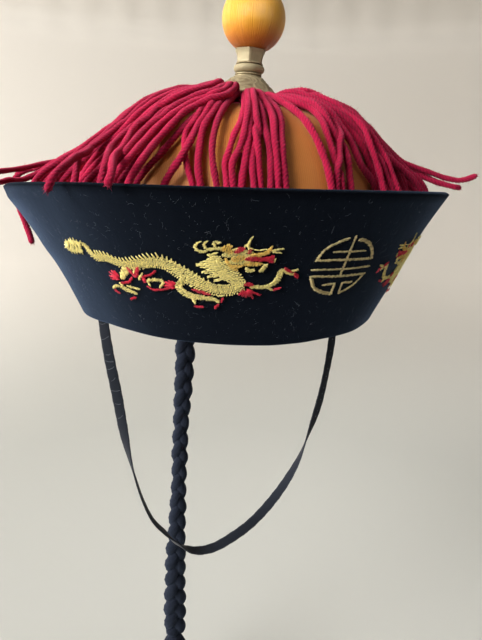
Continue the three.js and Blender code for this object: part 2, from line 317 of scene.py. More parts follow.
def smooth_line(points, spacing):
    """Evenly spaced points on a smooth curve through the given ones."""
    points = np.asarray(points, float)
    gaps = np.linalg.norm(np.diff(points, axis=0), axis=1) ** 0.5
    knots = np.concatenate([[0], np.cumsum(gaps)])
    slopes = np.gradient(points, knots, axis=0, edge_order=1)
    dense = []
    for i, gap in enumerate(gaps):
        share = np.linspace(0, 1, 24, endpoint=i == len(gaps) - 1)[:, None]
        dense.append(
            (2 * share**3 - 3 * share**2 + 1) * points[i]
            + (share**3 - 2 * share**2 + share) * gap * slopes[i]
            + (3 * share**2 - 2 * share**3) * points[i + 1]
            + (share**3 - share**2) * gap * slopes[i + 1]
        )
    return even_line(np.concatenate(dense), spacing)


def even_line(points, spacing):
    run = np.concatenate([[0], np.cumsum(np.linalg.norm(np.diff(points, axis=0), axis=1))])
    places = np.linspace(0, run[-1], max(int(round(run[-1] / spacing)), 3) + 1)
    return np.stack([np.interp(places, run, points[:, k]) for k in range(points.shape[1])], axis=1)


def run_of(line):
    return np.concatenate([[0], np.cumsum(np.linalg.norm(np.diff(line, axis=0), axis=1))])


def look_up(table, places):
    """Values from rows of (place, value), in a straight line between them."""
    rows = np.asarray(table, float)
    return np.interp(places, rows[:, 0], rows[:, 1])


def unit(vectors):
    return vectors / np.maximum(np.linalg.norm(vectors, axis=-1, keepdims=True), 1e-12)


def frames_along(line):
    """Direction of the line and two directions across it at each point, turning as little as possible."""
    forward = unit(np.gradient(line, axis=0))
    across = np.empty_like(line)
    current = np.array([0.3, 0.2, 1])
    for i, direction in enumerate(forward):
        current = current - direction * current.dot(direction)
        current /= math.sqrt(current.dot(current)) or 1
        across[i] = current
    return forward, across, np.cross(forward, across)


def tube_faces(rings, sides):
    """Faces of a closed tube: four-sided ones along it, and a fan about the point that closes each end."""
    ring, side = np.meshgrid(np.arange(rings - 1), np.arange(sides), indexing="ij")
    after = (side + 1) % sides
    quads = np.stack([ring * sides + side, ring * sides + after, (ring + 1) * sides + after,
                      (ring + 1) * sides + side], axis=-1).reshape(-1, 4)
    side = np.arange(sides)
    after = (side + 1) % sides
    last = (rings - 1) * sides
    foot = np.stack([np.full(sides, rings * sides), after, side], axis=1)
    head = np.stack([np.full(sides, rings * sides + 1), last + side, last + after], axis=1)
    return quads, np.concatenate([foot, head])


def tube(line, angles, radius):
    """A closed tube: the angles of its sides about the line, in rows or one row for all, and their radius."""
    angles = np.tile(angles, (len(line), 1)) if np.ndim(angles) == 1 else angles
    radius = np.broadcast_to(radius, angles.shape)
    _, across, beside = frames_along(line)
    points = (line[:, None] + radius[..., None] * (np.cos(angles)[..., None] * across[:, None]
              + np.sin(angles)[..., None] * beside[:, None])).reshape(-1, 3)
    return (np.concatenate([points, line[:1], line[-1:]]), *tube_faces(*angles.shape))


# Small helpers for finishes


def add_node(material, kind, inputs=(), **settings):
    node = material.node_tree.nodes.new(kind)
    for key, value in settings.items():
        setattr(node, key, value)
    for key, value in dict(inputs).items():
        if isinstance(value, bpy.types.NodeSocket):
            material.node_tree.links.new(value, node.inputs[key])
        else:
            node.inputs[key].default_value = value
    return node


def new_finish(name, **sockets):
    """A material whose shader's plain sockets are set, with the node for them."""
    material = bpy.data.materials.new(name)
    material.use_nodes = True
    shader = material.node_tree.nodes["Principled BSDF"]
    for key, value in sockets.items():
        shader.inputs[key.replace("_", " ")].default_value = value
    return material, shader


def join(material, source, target):
    material.node_tree.links.new(source, target)


def object_place(material, scale=(1, 1, 1), turn=(0, 0, 0)):
    place = add_node(material, "ShaderNodeTexCoord").outputs["Object"]
    return add_node(material, "ShaderNodeMapping",
                    {"Vector": place, "Scale": scale, "Rotation": turn}).outputs[0]


def noise(material, place, scale, detail=2.0):
    node = add_node(material, "ShaderNodeTexNoise", {"Vector": place, "Scale": scale, "Detail": detail})
    return node.outputs["Fac"]


def stretch(material, value, low, high, to_low=0.0, to_high=1.0):
    node = add_node(material, "ShaderNodeMapRange", {"Value": value, "From Min": low, "From Max": high,
                                                     "To Min": to_low, "To Max": to_high})
    return node.outputs[0]


def combine(material, operation, first, second):
    node = add_node(material, "ShaderNodeMath", {0: first, 1: second}, operation=operation)
    return node.outputs[0]


def blend_colours(material, share, first, second):
    inputs = {0: share}
    for socket, colour in ((6, first), (7, second)):
        inputs[socket] = colour if isinstance(colour, bpy.types.NodeSocket) else (*colour, 1)
    return add_node(material, "ShaderNodeMix", inputs, data_type="RGBA").outputs[2]


def bumps(material, shader, height, strength, distance, under=None):
    inputs = {"Height": height, "Strength": strength, "Distance": distance}
    if under is not None:
        inputs["Normal"] = under
    node = add_node(material, "ShaderNodeBump", inputs)
    join(material, node.outputs[0], shader.inputs["Normal"])
    return node.outputs[0]


def paint(material, shader, share, first, second):
    """Blends two colours into the shader's base colour."""
    join(material, blend_colours(material, share, first, second), shader.inputs["Base Color"])


def mixture(material, first, first_share, second, second_share):
    """Sum of two values, each times its share."""
    return combine(material, "ADD", combine(material, "MULTIPLY", first, first_share),
                   combine(material, "MULTIPLY", second, second_share))


def clamp(material, value):
    return add_node(material, "ShaderNodeClamp", {"Value": value}).outputs[0]


def point_value(material, name):
    return add_node(material, "ShaderNodeAttribute", attribute_name=name).outputs["Fac"]


def dress(piece, finish, slot, *nodes):
    """Gives a piece its material and the body it rides on, and hides the CAD nodes it stands for; the record
    slot is not used.
    """
    piece.data.materials.clear()
    piece.data.materials.append(finish)
    if nodes:
        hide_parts(*nodes)
    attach(piece, "root")
    return piece


def velvet_finish(colours):
    finish, shader = new_finish("black_velvet", Roughness=1.0, Sheen_Roughness=0.42, Specular_IOR_Level=0.02)
    shader.inputs["Sheen Tint"].default_value = (*colours.velvet_sheen, 1)
    place = object_place(finish)
    height = add_node(finish, "ShaderNodeSeparateXYZ", {"Vector": place}).outputs[2]
    # Less sheen towards the brim's upper edge: painted shade over the light that catches the rounded top.
    join(finish, stretch(finish, height, 0.0695, 0.074, 0.5, 0.14), shader.inputs["Sheen Weight"])
    brushed = object_place(finish, (260, 260, 90), (0.5, 0.3, 0))
    patches = stretch(finish, noise(finish, place, 24, 4), 0.3, 0.7)
    nap = noise(finish, place, 1500, 3)
    streaks = noise(finish, brushed, 1.0, 3)
    tone = combine(finish, "MULTIPLY", patches, streaks)
    lighter = tuple(min(value * 2.4 + 0.001, 1) for value in colours.velvet)
    paint(finish, shader, tone, colours.velvet, lighter)
    coarse = bumps(finish, shader, streaks, 0.2, 0.0006)
    bumps(finish, shader, nap, 0.35, 0.0004, coarse)
    return finish


def satin_finish(colours):
    finish, shader = new_finish("orange_satin", Roughness=0.5, Sheen_Weight=0.1, Specular_IOR_Level=0.3)
    place = object_place(finish)
    uv = add_node(finish, "ShaderNodeUVMap", uv_map="UVMap").outputs[0]
    ribs = add_node(finish, "ShaderNodeTexWave",
                    {"Vector": uv, "Scale": 150.0, "Distortion": 0.8, "Detail": 1.0},
                    bands_direction="X").outputs["Fac"]
    clouds = stretch(finish, noise(finish, place, 16, 3), 0.3, 0.7)
    paint(finish, shader, mixture(finish, clouds, 0.45, ribs, 0.3), colours.satin, colours.satin_shade)
    weave = bumps(finish, shader, ribs, 0.25, 0.00025)
    bumps(finish, shader, noise(finish, place, 45, 2), 0.12, 0.002, weave)
    return finish


def yarn_finish(name, lit, dark, sheen, fibre_scale=1900.0):
    """Plied yarn: painted shade between its plies, each yarn a little different, with fine fibres."""
    finish, shader = new_finish(name, Roughness=0.95, Sheen_Weight=0.36, Sheen_Roughness=0.6,
                                Specular_IOR_Level=0.08)
    shader.inputs["Sheen Tint"].default_value = (*sheen, 1)
    place = object_place(finish)
    fibres = noise(finish, place, fibre_scale, 3)
    # One minus the point value groove paints shade between the plies: the lower groove is, the darker.
    painted_ply_shade = combine(finish, "SUBTRACT", 1.0, point_value(finish, "groove"))
    shares = mixture(finish, painted_ply_shade, 0.55, point_value(finish, "shade"), 0.4)
    shares = combine(finish, "ADD", shares, stretch(finish, fibres, 0.3, 0.8, -0.15, 0.3))
    paint(finish, shader, clamp(finish, shares), lit, dark)
    bumps(finish, shader, fibres, 0.7, 0.0006)
    return finish


def tape_finish(colours):
    """Woven tape: slate face with fine ribs across it and paler edges, a painted highlight."""
    finish, shader = new_finish("black_tape", Roughness=0.85, Sheen_Weight=0.1, Specular_IOR_Level=0.12)
    place = object_place(finish)
    weave = noise(finish, place, 1700, 3)
    # The point value edge, times the weave, blends in a paler colour towards the tape's narrow edges: a
    # painted highlight where they catch the light.
    edge_highlight = combine(finish, "MULTIPLY", point_value(finish, "edge"),
                   stretch(finish, weave, 0.3, 0.7, 0.4, 0.9))
    edge = tuple(min(value * 2.0 + 0.012, 1) for value in colours.tape)
    paint(finish, shader, edge_highlight, colours.tape, edge)
    bumps(finish, shader, weave, 0.5, 0.0003)
    return finish


def brass_finish(colours):
    finish, shader = new_finish("aged_brass", Metallic=0.25, Roughness=0.6, Specular_IOR_Level=0.3)
    place = object_place(finish)
    stains = stretch(finish, noise(finish, place, 130, 5), 0.35, 0.7)
    hollow = combine(finish, "SUBTRACT", 1.0, point_value(finish, "relief"))
    share = clamp(finish, mixture(finish, hollow, 0.75, stains, 0.4))
    paint(finish, shader, share, colours.brass, colours.brass_shade)
    join(finish, stretch(finish, stains, 0, 1, 0.52, 0.72), shader.inputs["Roughness"])
    bumps(finish, shader, noise(finish, place, 700, 4), 0.22, 0.0006)
    return finish


def floss_finish(colours):
    finish, shader = new_finish("wound_gold_floss", Roughness=0.33, Specular_IOR_Level=0.42)
    uv = add_node(finish, "ShaderNodeUVMap", uv_map="UVMap").outputs[0]
    threads = add_node(finish, "ShaderNodeTexWave",
                       {"Vector": uv, "Scale": 62.0, "Distortion": 0.5, "Detail": 1.0, "Detail Scale": 0.3},
                       bands_direction="X").outputs["Fac"]
    long_place = add_node(finish, "ShaderNodeMapping", {"Vector": uv, "Scale": (150, 1.2, 1)}).outputs[0]
    strands = stretch(finish, noise(finish, long_place, 1.0, 3), 0.3, 0.72)
    tone = mixture(finish, strands, 0.4, threads, 0.25)
    upper = blend_colours(finish, tone, colours.floss, colours.floss_shade)
    height = add_node(finish, "ShaderNodeSeparateXYZ", {"Vector": uv}).outputs[1]
    # Towards the ball's foot the floss is blended into a darker orange: painted shade.
    low = stretch(finish, height, 0.42, 0.14, 0.0, 0.9)
    paint(finish, shader, low, upper, colours.floss_foot_shade)
    coarse = bumps(finish, shader, strands, 0.4, 0.0004)
    bumps(finish, shader, threads, 0.7, 0.0003, coarse)
    return finish


def stitch_finish(name, colour, dark_share):
    """Glossy embroidery thread, each stitch a little different."""
    finish, shader = new_finish(name, Roughness=0.45, Sheen_Weight=0.05, Specular_IOR_Level=0.4)
    place = object_place(finish)
    fibres = noise(finish, place, 2600, 2)
    dark = tuple(value * dark_share for value in colour)
    share = combine(finish, "ADD", combine(finish, "MULTIPLY", point_value(finish, "shade"), 0.7),
                    stretch(finish, fibres, 0.3, 0.8, -0.1, 0.3))
    paint(finish, shader, clamp(finish, share), colour, dark)
    bumps(finish, shader, fibres, 0.3, 0.0002)
    return finish


def lint_finish(colours):
    finish, shader = new_finish("pale_lint", Roughness=0.9)
    share = stretch(finish, noise(finish, object_place(finish), 90, 2), 0.3, 0.7)
    dim = tuple(value * 0.35 for value in colours.lint)
    paint(finish, shader, share, colours.lint, dim)
    return finish


# Shared shapes


def crown_shift(height):
    """The crown's top is pulled sideways by the finial that leans on it, more the higher it is."""
    pull = APEX_PULL * np.maximum(np.asarray(height, float) / CROWN_TOP, 0) ** 2
    angle = math.radians(LEAN_SIDE)
    return pull * math.sin(angle), -pull * math.cos(angle)


def around(side, radius, height):
    """Points in metres at a side angle, radius and height in mm, about the crown's own pulled axis."""
    side = np.radians(np.asarray(side, float))
    shift_x, shift_y = crown_shift(height)
    return np.stack([radius * np.sin(side) + shift_x, -radius * np.cos(side) + shift_y,
                     np.asarray(height, float) + 0 * side], axis=-1) * MM


def brim_flare(rise):
    """How far the brim has widened, as a share, at a share of its height."""
    return 0.9 * rise + 0.1 * rise * rise


def brim_oval(flare):
    """Factor from the brim's mean radius to its half length; its half width is divided by it."""
    return np.sqrt(1.04 + 0.01 * flare)


def brim_ring(sizes, rise, inset):
    """Half width, half length and centre of the brim at a share of its height."""
    flare = brim_flare(rise)
    radius = sizes.brim_bottom_radius + (sizes.brim_top_radius - sizes.brim_bottom_radius) * flare - inset
    oval = float(brim_oval(flare))
    return radius / oval, radius * oval, (0, sizes.brim_lean * flare, sizes.brim_height * rise)


# A step off the brim's outer face goes so much outwards and so much down.
SLOPE_OUT, SLOPE_DOWN = 0.88, 0.48

# Where the brim's wall stands out from a plain cone, by its rise, on its right and on its left side, in mm.
SWELL_RISES = (0, 0.25, 0.4, 0.5, 0.6, 0.75, 0.9, 1)
RIGHT_SWELL = (1.9, 1.2, 1.4, 2.6, 2.7, 3.2, 4.3, 2.4)
LEFT_SWELL = (-2.2, -1.6, -1.85, -2.0, -1.85, -1.6, -0.72, 0)

# How far the brim's upper edge is pulled down below its plane, by the side angle, in mm.
UPPER_DIP = [(-180, 0), (-150, 1.6), (-135, 3.0), (-98, 3.3), (-85, 2.0), (-72, 1.0), (-58, 0.2), (-45, 0),
             (180, 0)]
# How far the brim's lower edge stands above its plane, by the side angle, in mm.
LOWER_EDGE = [(-180, 0), (-130, -0.3), (-95, -0.3), (-85, 0.2), (-76, 0.7), (-64, 0.4), (-55, -0.3),
              (-48, -0.6), (-34, -0.9), (-16, -1.3), (-5, -0.8), (2, -0.1), (18, 0.5), (26, 0.9),
              (39, 0.6), (60, 0), (180, 0)]


def brim_swell(side, rise):
    """How far the brim stands out and up from a plain cone, in mm, at side angles in degrees."""
    side = (np.asarray(side, float) + 180) % 360 - 180
    rise = np.clip(rise, 0, 1)

    def share(centre, flat):
        away = np.abs((side - centre + 180) % 360 - 180)
        blend = np.clip(1 - (away - flat) / 22, 0, 1)
        return blend * blend * (3 - 2 * blend)

    out = share(-118, 25) * np.interp(rise, SWELL_RISES, RIGHT_SWELL)
    out = out + share(64, 28) * np.interp(rise, SWELL_RISES, LEFT_SWELL)
    turn = np.radians(side)
    edge = np.clip((rise - 0.35) / 0.65, 0, 1) ** 1.5
    out = out + (0.4 * np.sin(5 * turn + 0.7) + 0.3 * np.sin(9 * turn + 2.1)
                 + 0.15 * np.sin(17 * turn)) * edge
    up = look_up(LOWER_EDGE, side) * (1 - rise) ** 3
    up = up - look_up(UPPER_DIP, side) * np.clip((rise - 0.6) / 0.4, 0, 1) ** 1.3
    up = up + 0.4 * np.sin(3 * turn + 0.4) * edge
    return out, up


def on_brim(across, height, lift):
    """Points on the brim's outer face: across is mm round from the front, height mm up the slope."""
    degrees = np.asarray(across, float) / CHART_DEGREE
    side = np.radians(degrees)
    rise = np.asarray(height, float) / CHART_HEIGHT
    flare = brim_flare(rise)
    out, up = brim_swell(degrees, rise)
    lift = np.asarray(lift, float)
    radius = BRIM_FOOT + BRIM_SPREAD * flare + out + lift * SLOPE_OUT
    oval = brim_oval(flare)
    x, y = radius / oval * np.sin(side), -radius * oval * np.cos(side) + BRIM_LEAN * flare
    return np.stack([x, y, BRIM_RISE * rise + up - lift * SLOPE_DOWN], axis=-1) * MM


def crown_profile(outer_radius, top, radius):
    share = min(radius / outer_radius, 1) ** CROWN_FULLNESS
    return CROWN_WALL_HEIGHT + (top - CROWN_WALL_HEIGHT) * math.sqrt(1 - share)


# Stage

# The round backdrop about the hat: radius and height over the floor, in metres.
BACKDROP_OUTLINE = [(0.3, 0), (1.5, 0), (1.95, 0.04), (2.35, 0.16), (2.7, 0.42), (2.92, 0.8), (3.05, 1.2),
                    (3.1, 1.5)]

# Shares of the floor's colour that are left near its middle, painted shade, and the radii between which it
# fades, in metres.
FLOOR_DIM = (0.64, 0.67, 0.675)
DIM_FROM, DIM_FULL = 2.2, 0.7

# How far the floor lies below the hanging plait, in metres.
FLOOR_GAP = 0.03


def make_camera(stage):
    pitch, yaw, roll = stage.camera_pitch, stage.camera_yaw, stage.camera_roll
    forward = Vector((math.sin(yaw) * math.cos(pitch), math.cos(yaw) * math.cos(pitch), -math.sin(pitch)))
    right = Vector((math.cos(yaw), -math.sin(yaw), 0))
    up = right.cross(forward)
    right, up = right * math.cos(roll) + up * math.sin(roll), up * math.cos(roll) - right * math.sin(roll)
    turn = Matrix((right, up, -forward)).transposed()
    turn = Matrix.Rotation(stage.camera_heading, 3, "Z") @ turn
    bpy.ops.object.camera_add()
    camera = bpy.context.object
    camera.name = "camera"
    camera.matrix_world = Matrix.Translation(stage.camera_place) @ turn.to_4x4()
    camera.data.lens = stage.lens
    camera.data.sensor_width = 36
    camera.data.clip_start = 0.01
    bpy.context.scene.camera = camera


def make_light(name, place, size, power, colour, aim=(0, 0, 0.03), spread=180):
    direction = Vector(aim) - Vector(place)
    bpy.ops.object.light_add(type="AREA", location=place,
                             rotation=direction.to_track_quat("-Z", "Y").to_euler())
    light = bpy.context.object
    light.name = name
    light.data.shape = "DISK"
    light.data.size = size
    light.data.energy = power
    light.data.color = colour
    light.data.spread = math.radians(spread)


def make_stage(stage, colours):
    deselect_all()
    make_camera(stage)
    make_light("key_light", (-1.14, -0.16, 0.54), 1.2, stage.key_power, (1.0, 0.985, 0.965), spread=56)
    make_light("fill_light", (0.55, -1.05, 0.55), 1.0, stage.fill_power, (0.94, 0.97, 1.0))
    make_light("backdrop_light", (-1.5, 1.2, 0.75), 1.2, stage.backdrop_power, (1.0, 0.99, 0.97),
               aim=(1.7, 2.4, 1.0))
    world = bpy.data.worlds.new("surroundings")
    world.use_nodes = True
    background = world.node_tree.nodes["Background"]
    background.inputs["Color"].default_value = (*colours.surroundings, 1)
    background.inputs["Strength"].default_value = stage.surroundings_strength
    bpy.context.scene.world = world
    bpy.context.scene.view_settings.view_transform = "Standard"
    low = CAD_BOX[0][2] - FLOOR_GAP
    floor = loft("floor", [(radius, radius, (0, 0, low + rise)) for radius, rise in BACKDROP_OUTLINE], 96)
    pick(floor)
    bpy.ops.object.mode_set(mode="EDIT")
    bpy.ops.mesh.select_all(action="SELECT")
    bpy.ops.mesh.region_to_loop()
    bpy.ops.object.mode_set(mode="OBJECT")
    for edge in floor.data.edges:
        ends = [floor.data.vertices[k].co for k in edge.vertices]
        edge.select = all(point.xy.length < 0.4 for point in ends)
    bpy.ops.object.mode_set(mode="EDIT")
    bpy.ops.mesh.edge_face_add()
    bpy.ops.mesh.select_all(action="SELECT")
    bpy.ops.mesh.normals_make_consistent(inside=True)
    bpy.ops.object.mode_set(mode="OBJECT")
    apply_modifier(floor, "SUBSURF", levels=2, render_levels=2)
    shade(floor, 80)
    finish, shader = new_finish("pale_floor", Roughness=0.9, Specular_IOR_Level=0.1)
    flat_place = object_place(finish, (1, 1, 0))
    distance = add_node(finish, "ShaderNodeVectorMath", {0: flat_place}, operation="LENGTH")
    # The floor is painted darker towards its middle: painted shade.
    near = stretch(finish, distance.outputs["Value"], DIM_FROM, DIM_FULL)
    dimmer = tuple(value * share for value, share in zip(colours.floor, FLOOR_DIM))
    paint(finish, shader, near, colours.floor, dimmer)
    floor.data.materials.append(finish)


# Chin strap and plait

# The middle of the strap, from the hem on the wearer's right to the one on the left.
STRAP_ROUTE = [
    (-83.4, 2.5, 16), (-83.4, 2.5, -2), (-80.6, 2.4, -26), (-76.4, 2.1, -51), (-70.3, 1.8, -90),
    (-65.8, 1.6, -110), (-59.8, 1.3, -131), (-53.2, 1.0, -146.5), (-43.5, 0.5, -159.5), (-33.5, 0, -171.5),
    (-22, -0.6, -178.5), (-9.5, -1.3, -180), (4, -2, -176.5), (22.5, -2.9, -167.5), (43.5, -4, -148.5),
    (59.5, -4.8, -125.5), (68.5, -5.2, -103), (75, -5.6, -83), (80, -5.9, -58), (83, -6, -34),
    (83.4, -6, -8), (83.4, -6, 16),
]

# How far the tape's flat face is turned, in degrees, by the length along the strap in mm.
STRAP_TURNS = [(0, 28), (42, 14), (68, 8), (95, 22), (109, 52), (120, 70), (130, 80), (160, 86), (184, 88),
               (190, 52), (196, 46), (202, 90), (212, 118), (222, 130), (236, 146), (259, 170), (287, 144),
               (303, 128), (316, 106), (324, 90), (339, 65), (347, 46), (360, 34), (386, 42), (400, 35),
               (425, 28), (460, 28)]

# The middle of the plait, from inside the back of the crown down, and its width as a share along it in mm.
BRAID_ROUTE = [
    (3.8, 78.5, 12), (3.8, 78.5, -10), (3.4, 78.3, -48), (2.2, 78, -79), (0.8, 78, -103), (-0.6, 78, -131),
    (-1.4, 78, -162), (-2.6, 78, -195), (-3.8, 78, -229), (-4.5, 78, -258), (-4.8, 78, -288),
    (-4.8, 78, -317),
]
BRAID_FULLNESS = [(0, 1.1), (60, 1.07), (90, 1.08), (110, 0.98), (170, 0.93), (200, 0.97), (240, 1.12),
                  (280, 1.2), (329, 1.24)]

# Places along the strap, in mm, of the pale hand stitches that cross it and of the knots along its middle.
CROSS_STITCHES = [22, 31, 41, 45.5, 50, 58, 66, 74, 83]
STRAP_KNOTS = [352, 357, 366, 370.5, 375, 384, 389, 398, 403, 412, 417, 426, 431, 436]

# The tape's flat face is turned from this direction, and the plait lies flat along that one.
TOWARDS_VIEW = np.array([-0.46, -0.86, 0.2])
PLAIT_ASIDE = np.array([1.0, -0.12, 0])


def make_strap(sizes, colours):
    """Flat tape that turns as it hangs, with a few pale hand stitches."""
    line = smooth_line(np.array(STRAP_ROUTE) * MM, 0.0015)
    run = run_of(line)
    forward = unit(np.gradient(line, axis=0))
    facing = unit(TOWARDS_VIEW - forward * (forward @ TOWARDS_VIEW)[:, None])
    beside = np.cross(forward, facing)
    turn = np.radians(look_up(STRAP_TURNS, run / MM))
    turn = np.convolve(np.pad(turn, 3, mode="edge"), np.ones(7) / 7, mode="valid")[:, None]
    facing, beside = (facing * np.cos(turn) + beside * np.sin(turn),
                      beside * np.cos(turn) - facing * np.sin(turn))
    corner = np.radians([8, 32, 65, 115, 148, 172, 188, 212, 245, 295, 328, 352])
    wide = np.sign(np.cos(corner)) * np.abs(np.cos(corner)) ** 0.45 * sizes.strap_width / 2
    thick = np.sign(np.sin(corner)) * np.abs(np.sin(corner)) ** 0.6 * sizes.strap_thickness / 2
    swell = 1 + 0.03 * np.sin(run / MM * 0.71) + 0.02 * np.sin(run / MM * 1.9)
    points = (line[:, None] + beside[:, None] * (wide * swell[:, None])[..., None]
              + facing[:, None] * np.broadcast_to(thick, (len(line), len(corner)))[..., None])
    heap = Heap()
    # Share of the painted edge highlight at each point, highest on the tape's narrow edges.
    edge = np.append(np.tile(np.abs(np.cos(corner)) ** 3, len(line)), [0, 0])
    points = np.concatenate([points.reshape(-1, 3), line[:1], line[-1:]])
    heap.add(points, *tube_faces(len(line), len(corner)), edge=edge)
    strap = heap.piece("chin_strap_tape")
    dress(strap, tape_finish(colours), "black_cord", "chin_strap")
    stitches = Heap()
    angles = np.radians([0, 72, 144, 216, 288])
    shares = np.linspace(-1, 1, 7)[:, None]
    for k, place in enumerate(CROSS_STITCHES):
        level = int(np.searchsorted(run, place * MM))
        reach, lean = 0.6 + 0.2 * math.sin(k * 2.3), 0.0004 + 0.0008 * math.sin(k * 1.7)
        for face in (-1, 1):
            bow = 0.0005 * (1 - shares**2)
            loop = (line[level] + beside[level] * (shares * sizes.strap_width * 0.5 * reach)
                    + forward[level] * (shares * lean + bow)
                    + facing[level] * (face * (sizes.strap_thickness / 2 + 0.00005)))
            stitches.add(*tube(loop, angles, 0.00012), shade=0.3 + 0.25 * math.sin(place * 3))
    for place in STRAP_KNOTS:
        level = int(np.searchsorted(run, place * MM))
        for face in (-1, 1):
            spot = line[level] + facing[level] * face * (sizes.strap_thickness / 2)
            knot = spot + forward[level] * np.linspace(-0.0004, 0.0004, 3)[:, None]
            stitches.add(*tube(knot, angles, np.array([[0.5], [1], [0.5]]) * 0.0004), shade=0.7)
    hand = stitches.piece("chin_strap_stitches")
    dress(hand, stitch_finish("grey_hand_thread", srgb(88, 94, 104), 0.4), "black_cord")


def make_braid(sizes, colours, rng):
    """Three strands plaited flat, each of several threads, with a tie and a tuft of loose ends."""
    line = smooth_line(np.array(BRAID_ROUTE) * MM, 0.0012)
    run = run_of(line)
    fullness = look_up(BRAID_FULLNESS, run / MM)
    waver = 1 + 0.04 * np.sin(run / MM * 0.13) + 0.03 * np.sin(run / MM * 0.37)
    forward = unit(np.gradient(line, axis=0))
    lateral = unit(PLAIT_ASIDE - forward * (forward @ PLAIT_ASIDE)[:, None])
    back = np.cross(forward, lateral)
    strand_radius = sizes.braid_diameter * 0.3
    dark = tuple(value * 0.35 for value in colours.black)
    finish = yarn_finish("black_plait_yarn", colours.black, dark, srgb(96, 108, 130), 1500.0)
    heap = Heap()
    angles = np.linspace(0, 2 * math.pi, 21, endpoint=False)
    lobe = np.abs(np.cos(7 * angles / 2))
    for strand in range(3):
        phase = 2 * math.pi * (run / sizes.braid_pitch + strand / 3)
        reach = (sizes.braid_diameter / 2 * fullness * waver) - strand_radius * 0.96
        weave = (line + lateral * (reach * np.sin(phase))[:, None]
                 + back * (0.0018 * np.sin(2 * phase))[:, None])
        squeeze = 1 + 0.14 * np.abs(np.sin(phase)) ** 2
        shape = strand_radius * (fullness * squeeze)[:, None] * (0.86 + 0.14 * lobe)[None]
        turned = angles[None] + (run / 0.036 * 2 * math.pi)[:, None]
        # The lobes also set the painted shade between the plait's threads, darker in their valleys.
        heap.add(*tube(weave, turned, shape), groove=np.append(np.tile(lobe, len(line)), [1, 1]),
                 shade=0.2 + 0.2 * strand)
    braid = dress(heap.piece("plait"), finish, "black_cord", "braid")
    tie = make_tie(line[-1], finish)
    tuft = make_tuft(line[-1], finish, rng)


def make_tie(end, finish):
    """Five close coils round a plain core, at the plait's end."""
    heap = Heap()
    small = np.radians(np.arange(0, 360, 45))
    angle = np.linspace(0, 2 * math.pi, 33)
    for coil in range(5):
        radius = 0.0052 + 0.0002 * (coil % 2)
        height = end[2] - 0.0009 - coil * 0.0013
        circle = np.stack([end[0] + radius * np.cos(angle), end[1] + radius * np.sin(angle),
                           height - 0.0013 * angle / (2 * math.pi)], axis=1)
        heap.add(*tube(circle, small, 0.00072), groove=0.8, shade=0.7)
    core = np.tile(end, (6, 1))
    core[:, 2] = np.linspace(end[2] + 0.004, end[2] - 0.012, 6)
    heap.add(*tube(core, np.linspace(0, 2 * math.pi, 20, endpoint=False), 0.0047), groove=0.4, shade=0.9)
    return dress(heap.piece("plait_tie"), finish, "black_cord", "braid_tie")


def make_tuft(end, finish, rng):
    """Loose yarn ends below the tie: one in the middle and rings of them about it."""
    heap = Heap()
    angles = np.linspace(0, 2 * math.pi, 8, endpoint=False)
    for ring, count in ((0, 1), (1, 7), (2, 13), (3, 19)):
        for k in range(count):
            angle = 2 * math.pi * (k + 0.5 * (ring % 2)) / count + rng.uniform(-0.12, 0.12)
            outward = np.array([math.cos(angle), math.sin(angle), 0])
            spread = ring / 3
            reach = rng.uniform(0.86, 1.0) * 0.0435
            heights = np.array([0.004, -0.004, -0.010, -0.018, -0.028, -0.037, -reach - 0.007])
            radii = np.array([1.2, 1.35, 2.3, 3.2, 3.5, 3.35, 3.0]) * spread * 0.00305 / 0.94
            wave = rng.uniform(-0.0008, 0.0008, (7, 3)) * np.linspace(0, 1, 7)[:, None]
            path = end + outward * radii[:, None] + wave
            path[:, 2] = end[2] + heights
            strand = smooth_line(path, 0.0016)
            turned = angles[None] + (run_of(strand) / 0.007 * 2 * math.pi)[:, None]
            taper = np.interp(np.arange(len(strand)), [0, len(strand) - 3, len(strand) - 1], [1, 1, 0.6])
            shape = 0.00125 * taper[:, None] * (0.88 + 0.12 * np.abs(np.cos(1.5 * angles)))[None]
            heap.add(*tube(strand, turned, shape), groove=0.8, shade=rng.uniform(0, 0.8))
    return dress(heap.piece("plait_tuft"), finish, "black_cord", "braid_tuft")


# Brim and crown


def make_brim(sizes, colours):
    """The velvet wall, turned in at its lower edge and folded over a thin card at the top."""
    rises = [-0.013, -0.013, -0.008, 0.0, 0.02, 0.07, 0.14, 0.23, 0.33, 0.43, 0.53, 0.63, 0.73, 0.83, 0.91,
             0.965, 0.99, 0.998]
    insets = [0.0014, 0.0004, 0.0] + [0.0] * (len(rises) - 3)
    brim = loft("velvet_brim", [brim_ring(sizes, rise, inset) for rise, inset in zip(rises, insets)], 144)
    apply_modifier(brim, "SOLIDIFY", thickness=sizes.brim_thickness, offset=-1.0, use_even_offset=True)
    apply_modifier(brim, "SUBSURF", levels=1, render_levels=1)
    points = points_of(brim)
    rise = points[:, 2] / sizes.brim_height
    flare = brim_flare(np.clip(rise, 0, 1))
    oval = brim_oval(flare)
    side = np.degrees(np.arctan2(points[:, 0] * oval, -(points[:, 1] - sizes.brim_lean * flare) / oval))
    out, up = brim_swell(side, rise)
    points += unit(points * np.array([1, 1, 0])) * (out * MM)[:, None]
    points[:, 2] += up * MM
    set_points(brim, points)
    shade(brim, 60)
    dress(brim, velvet_finish(colours), "velvet", "brim")


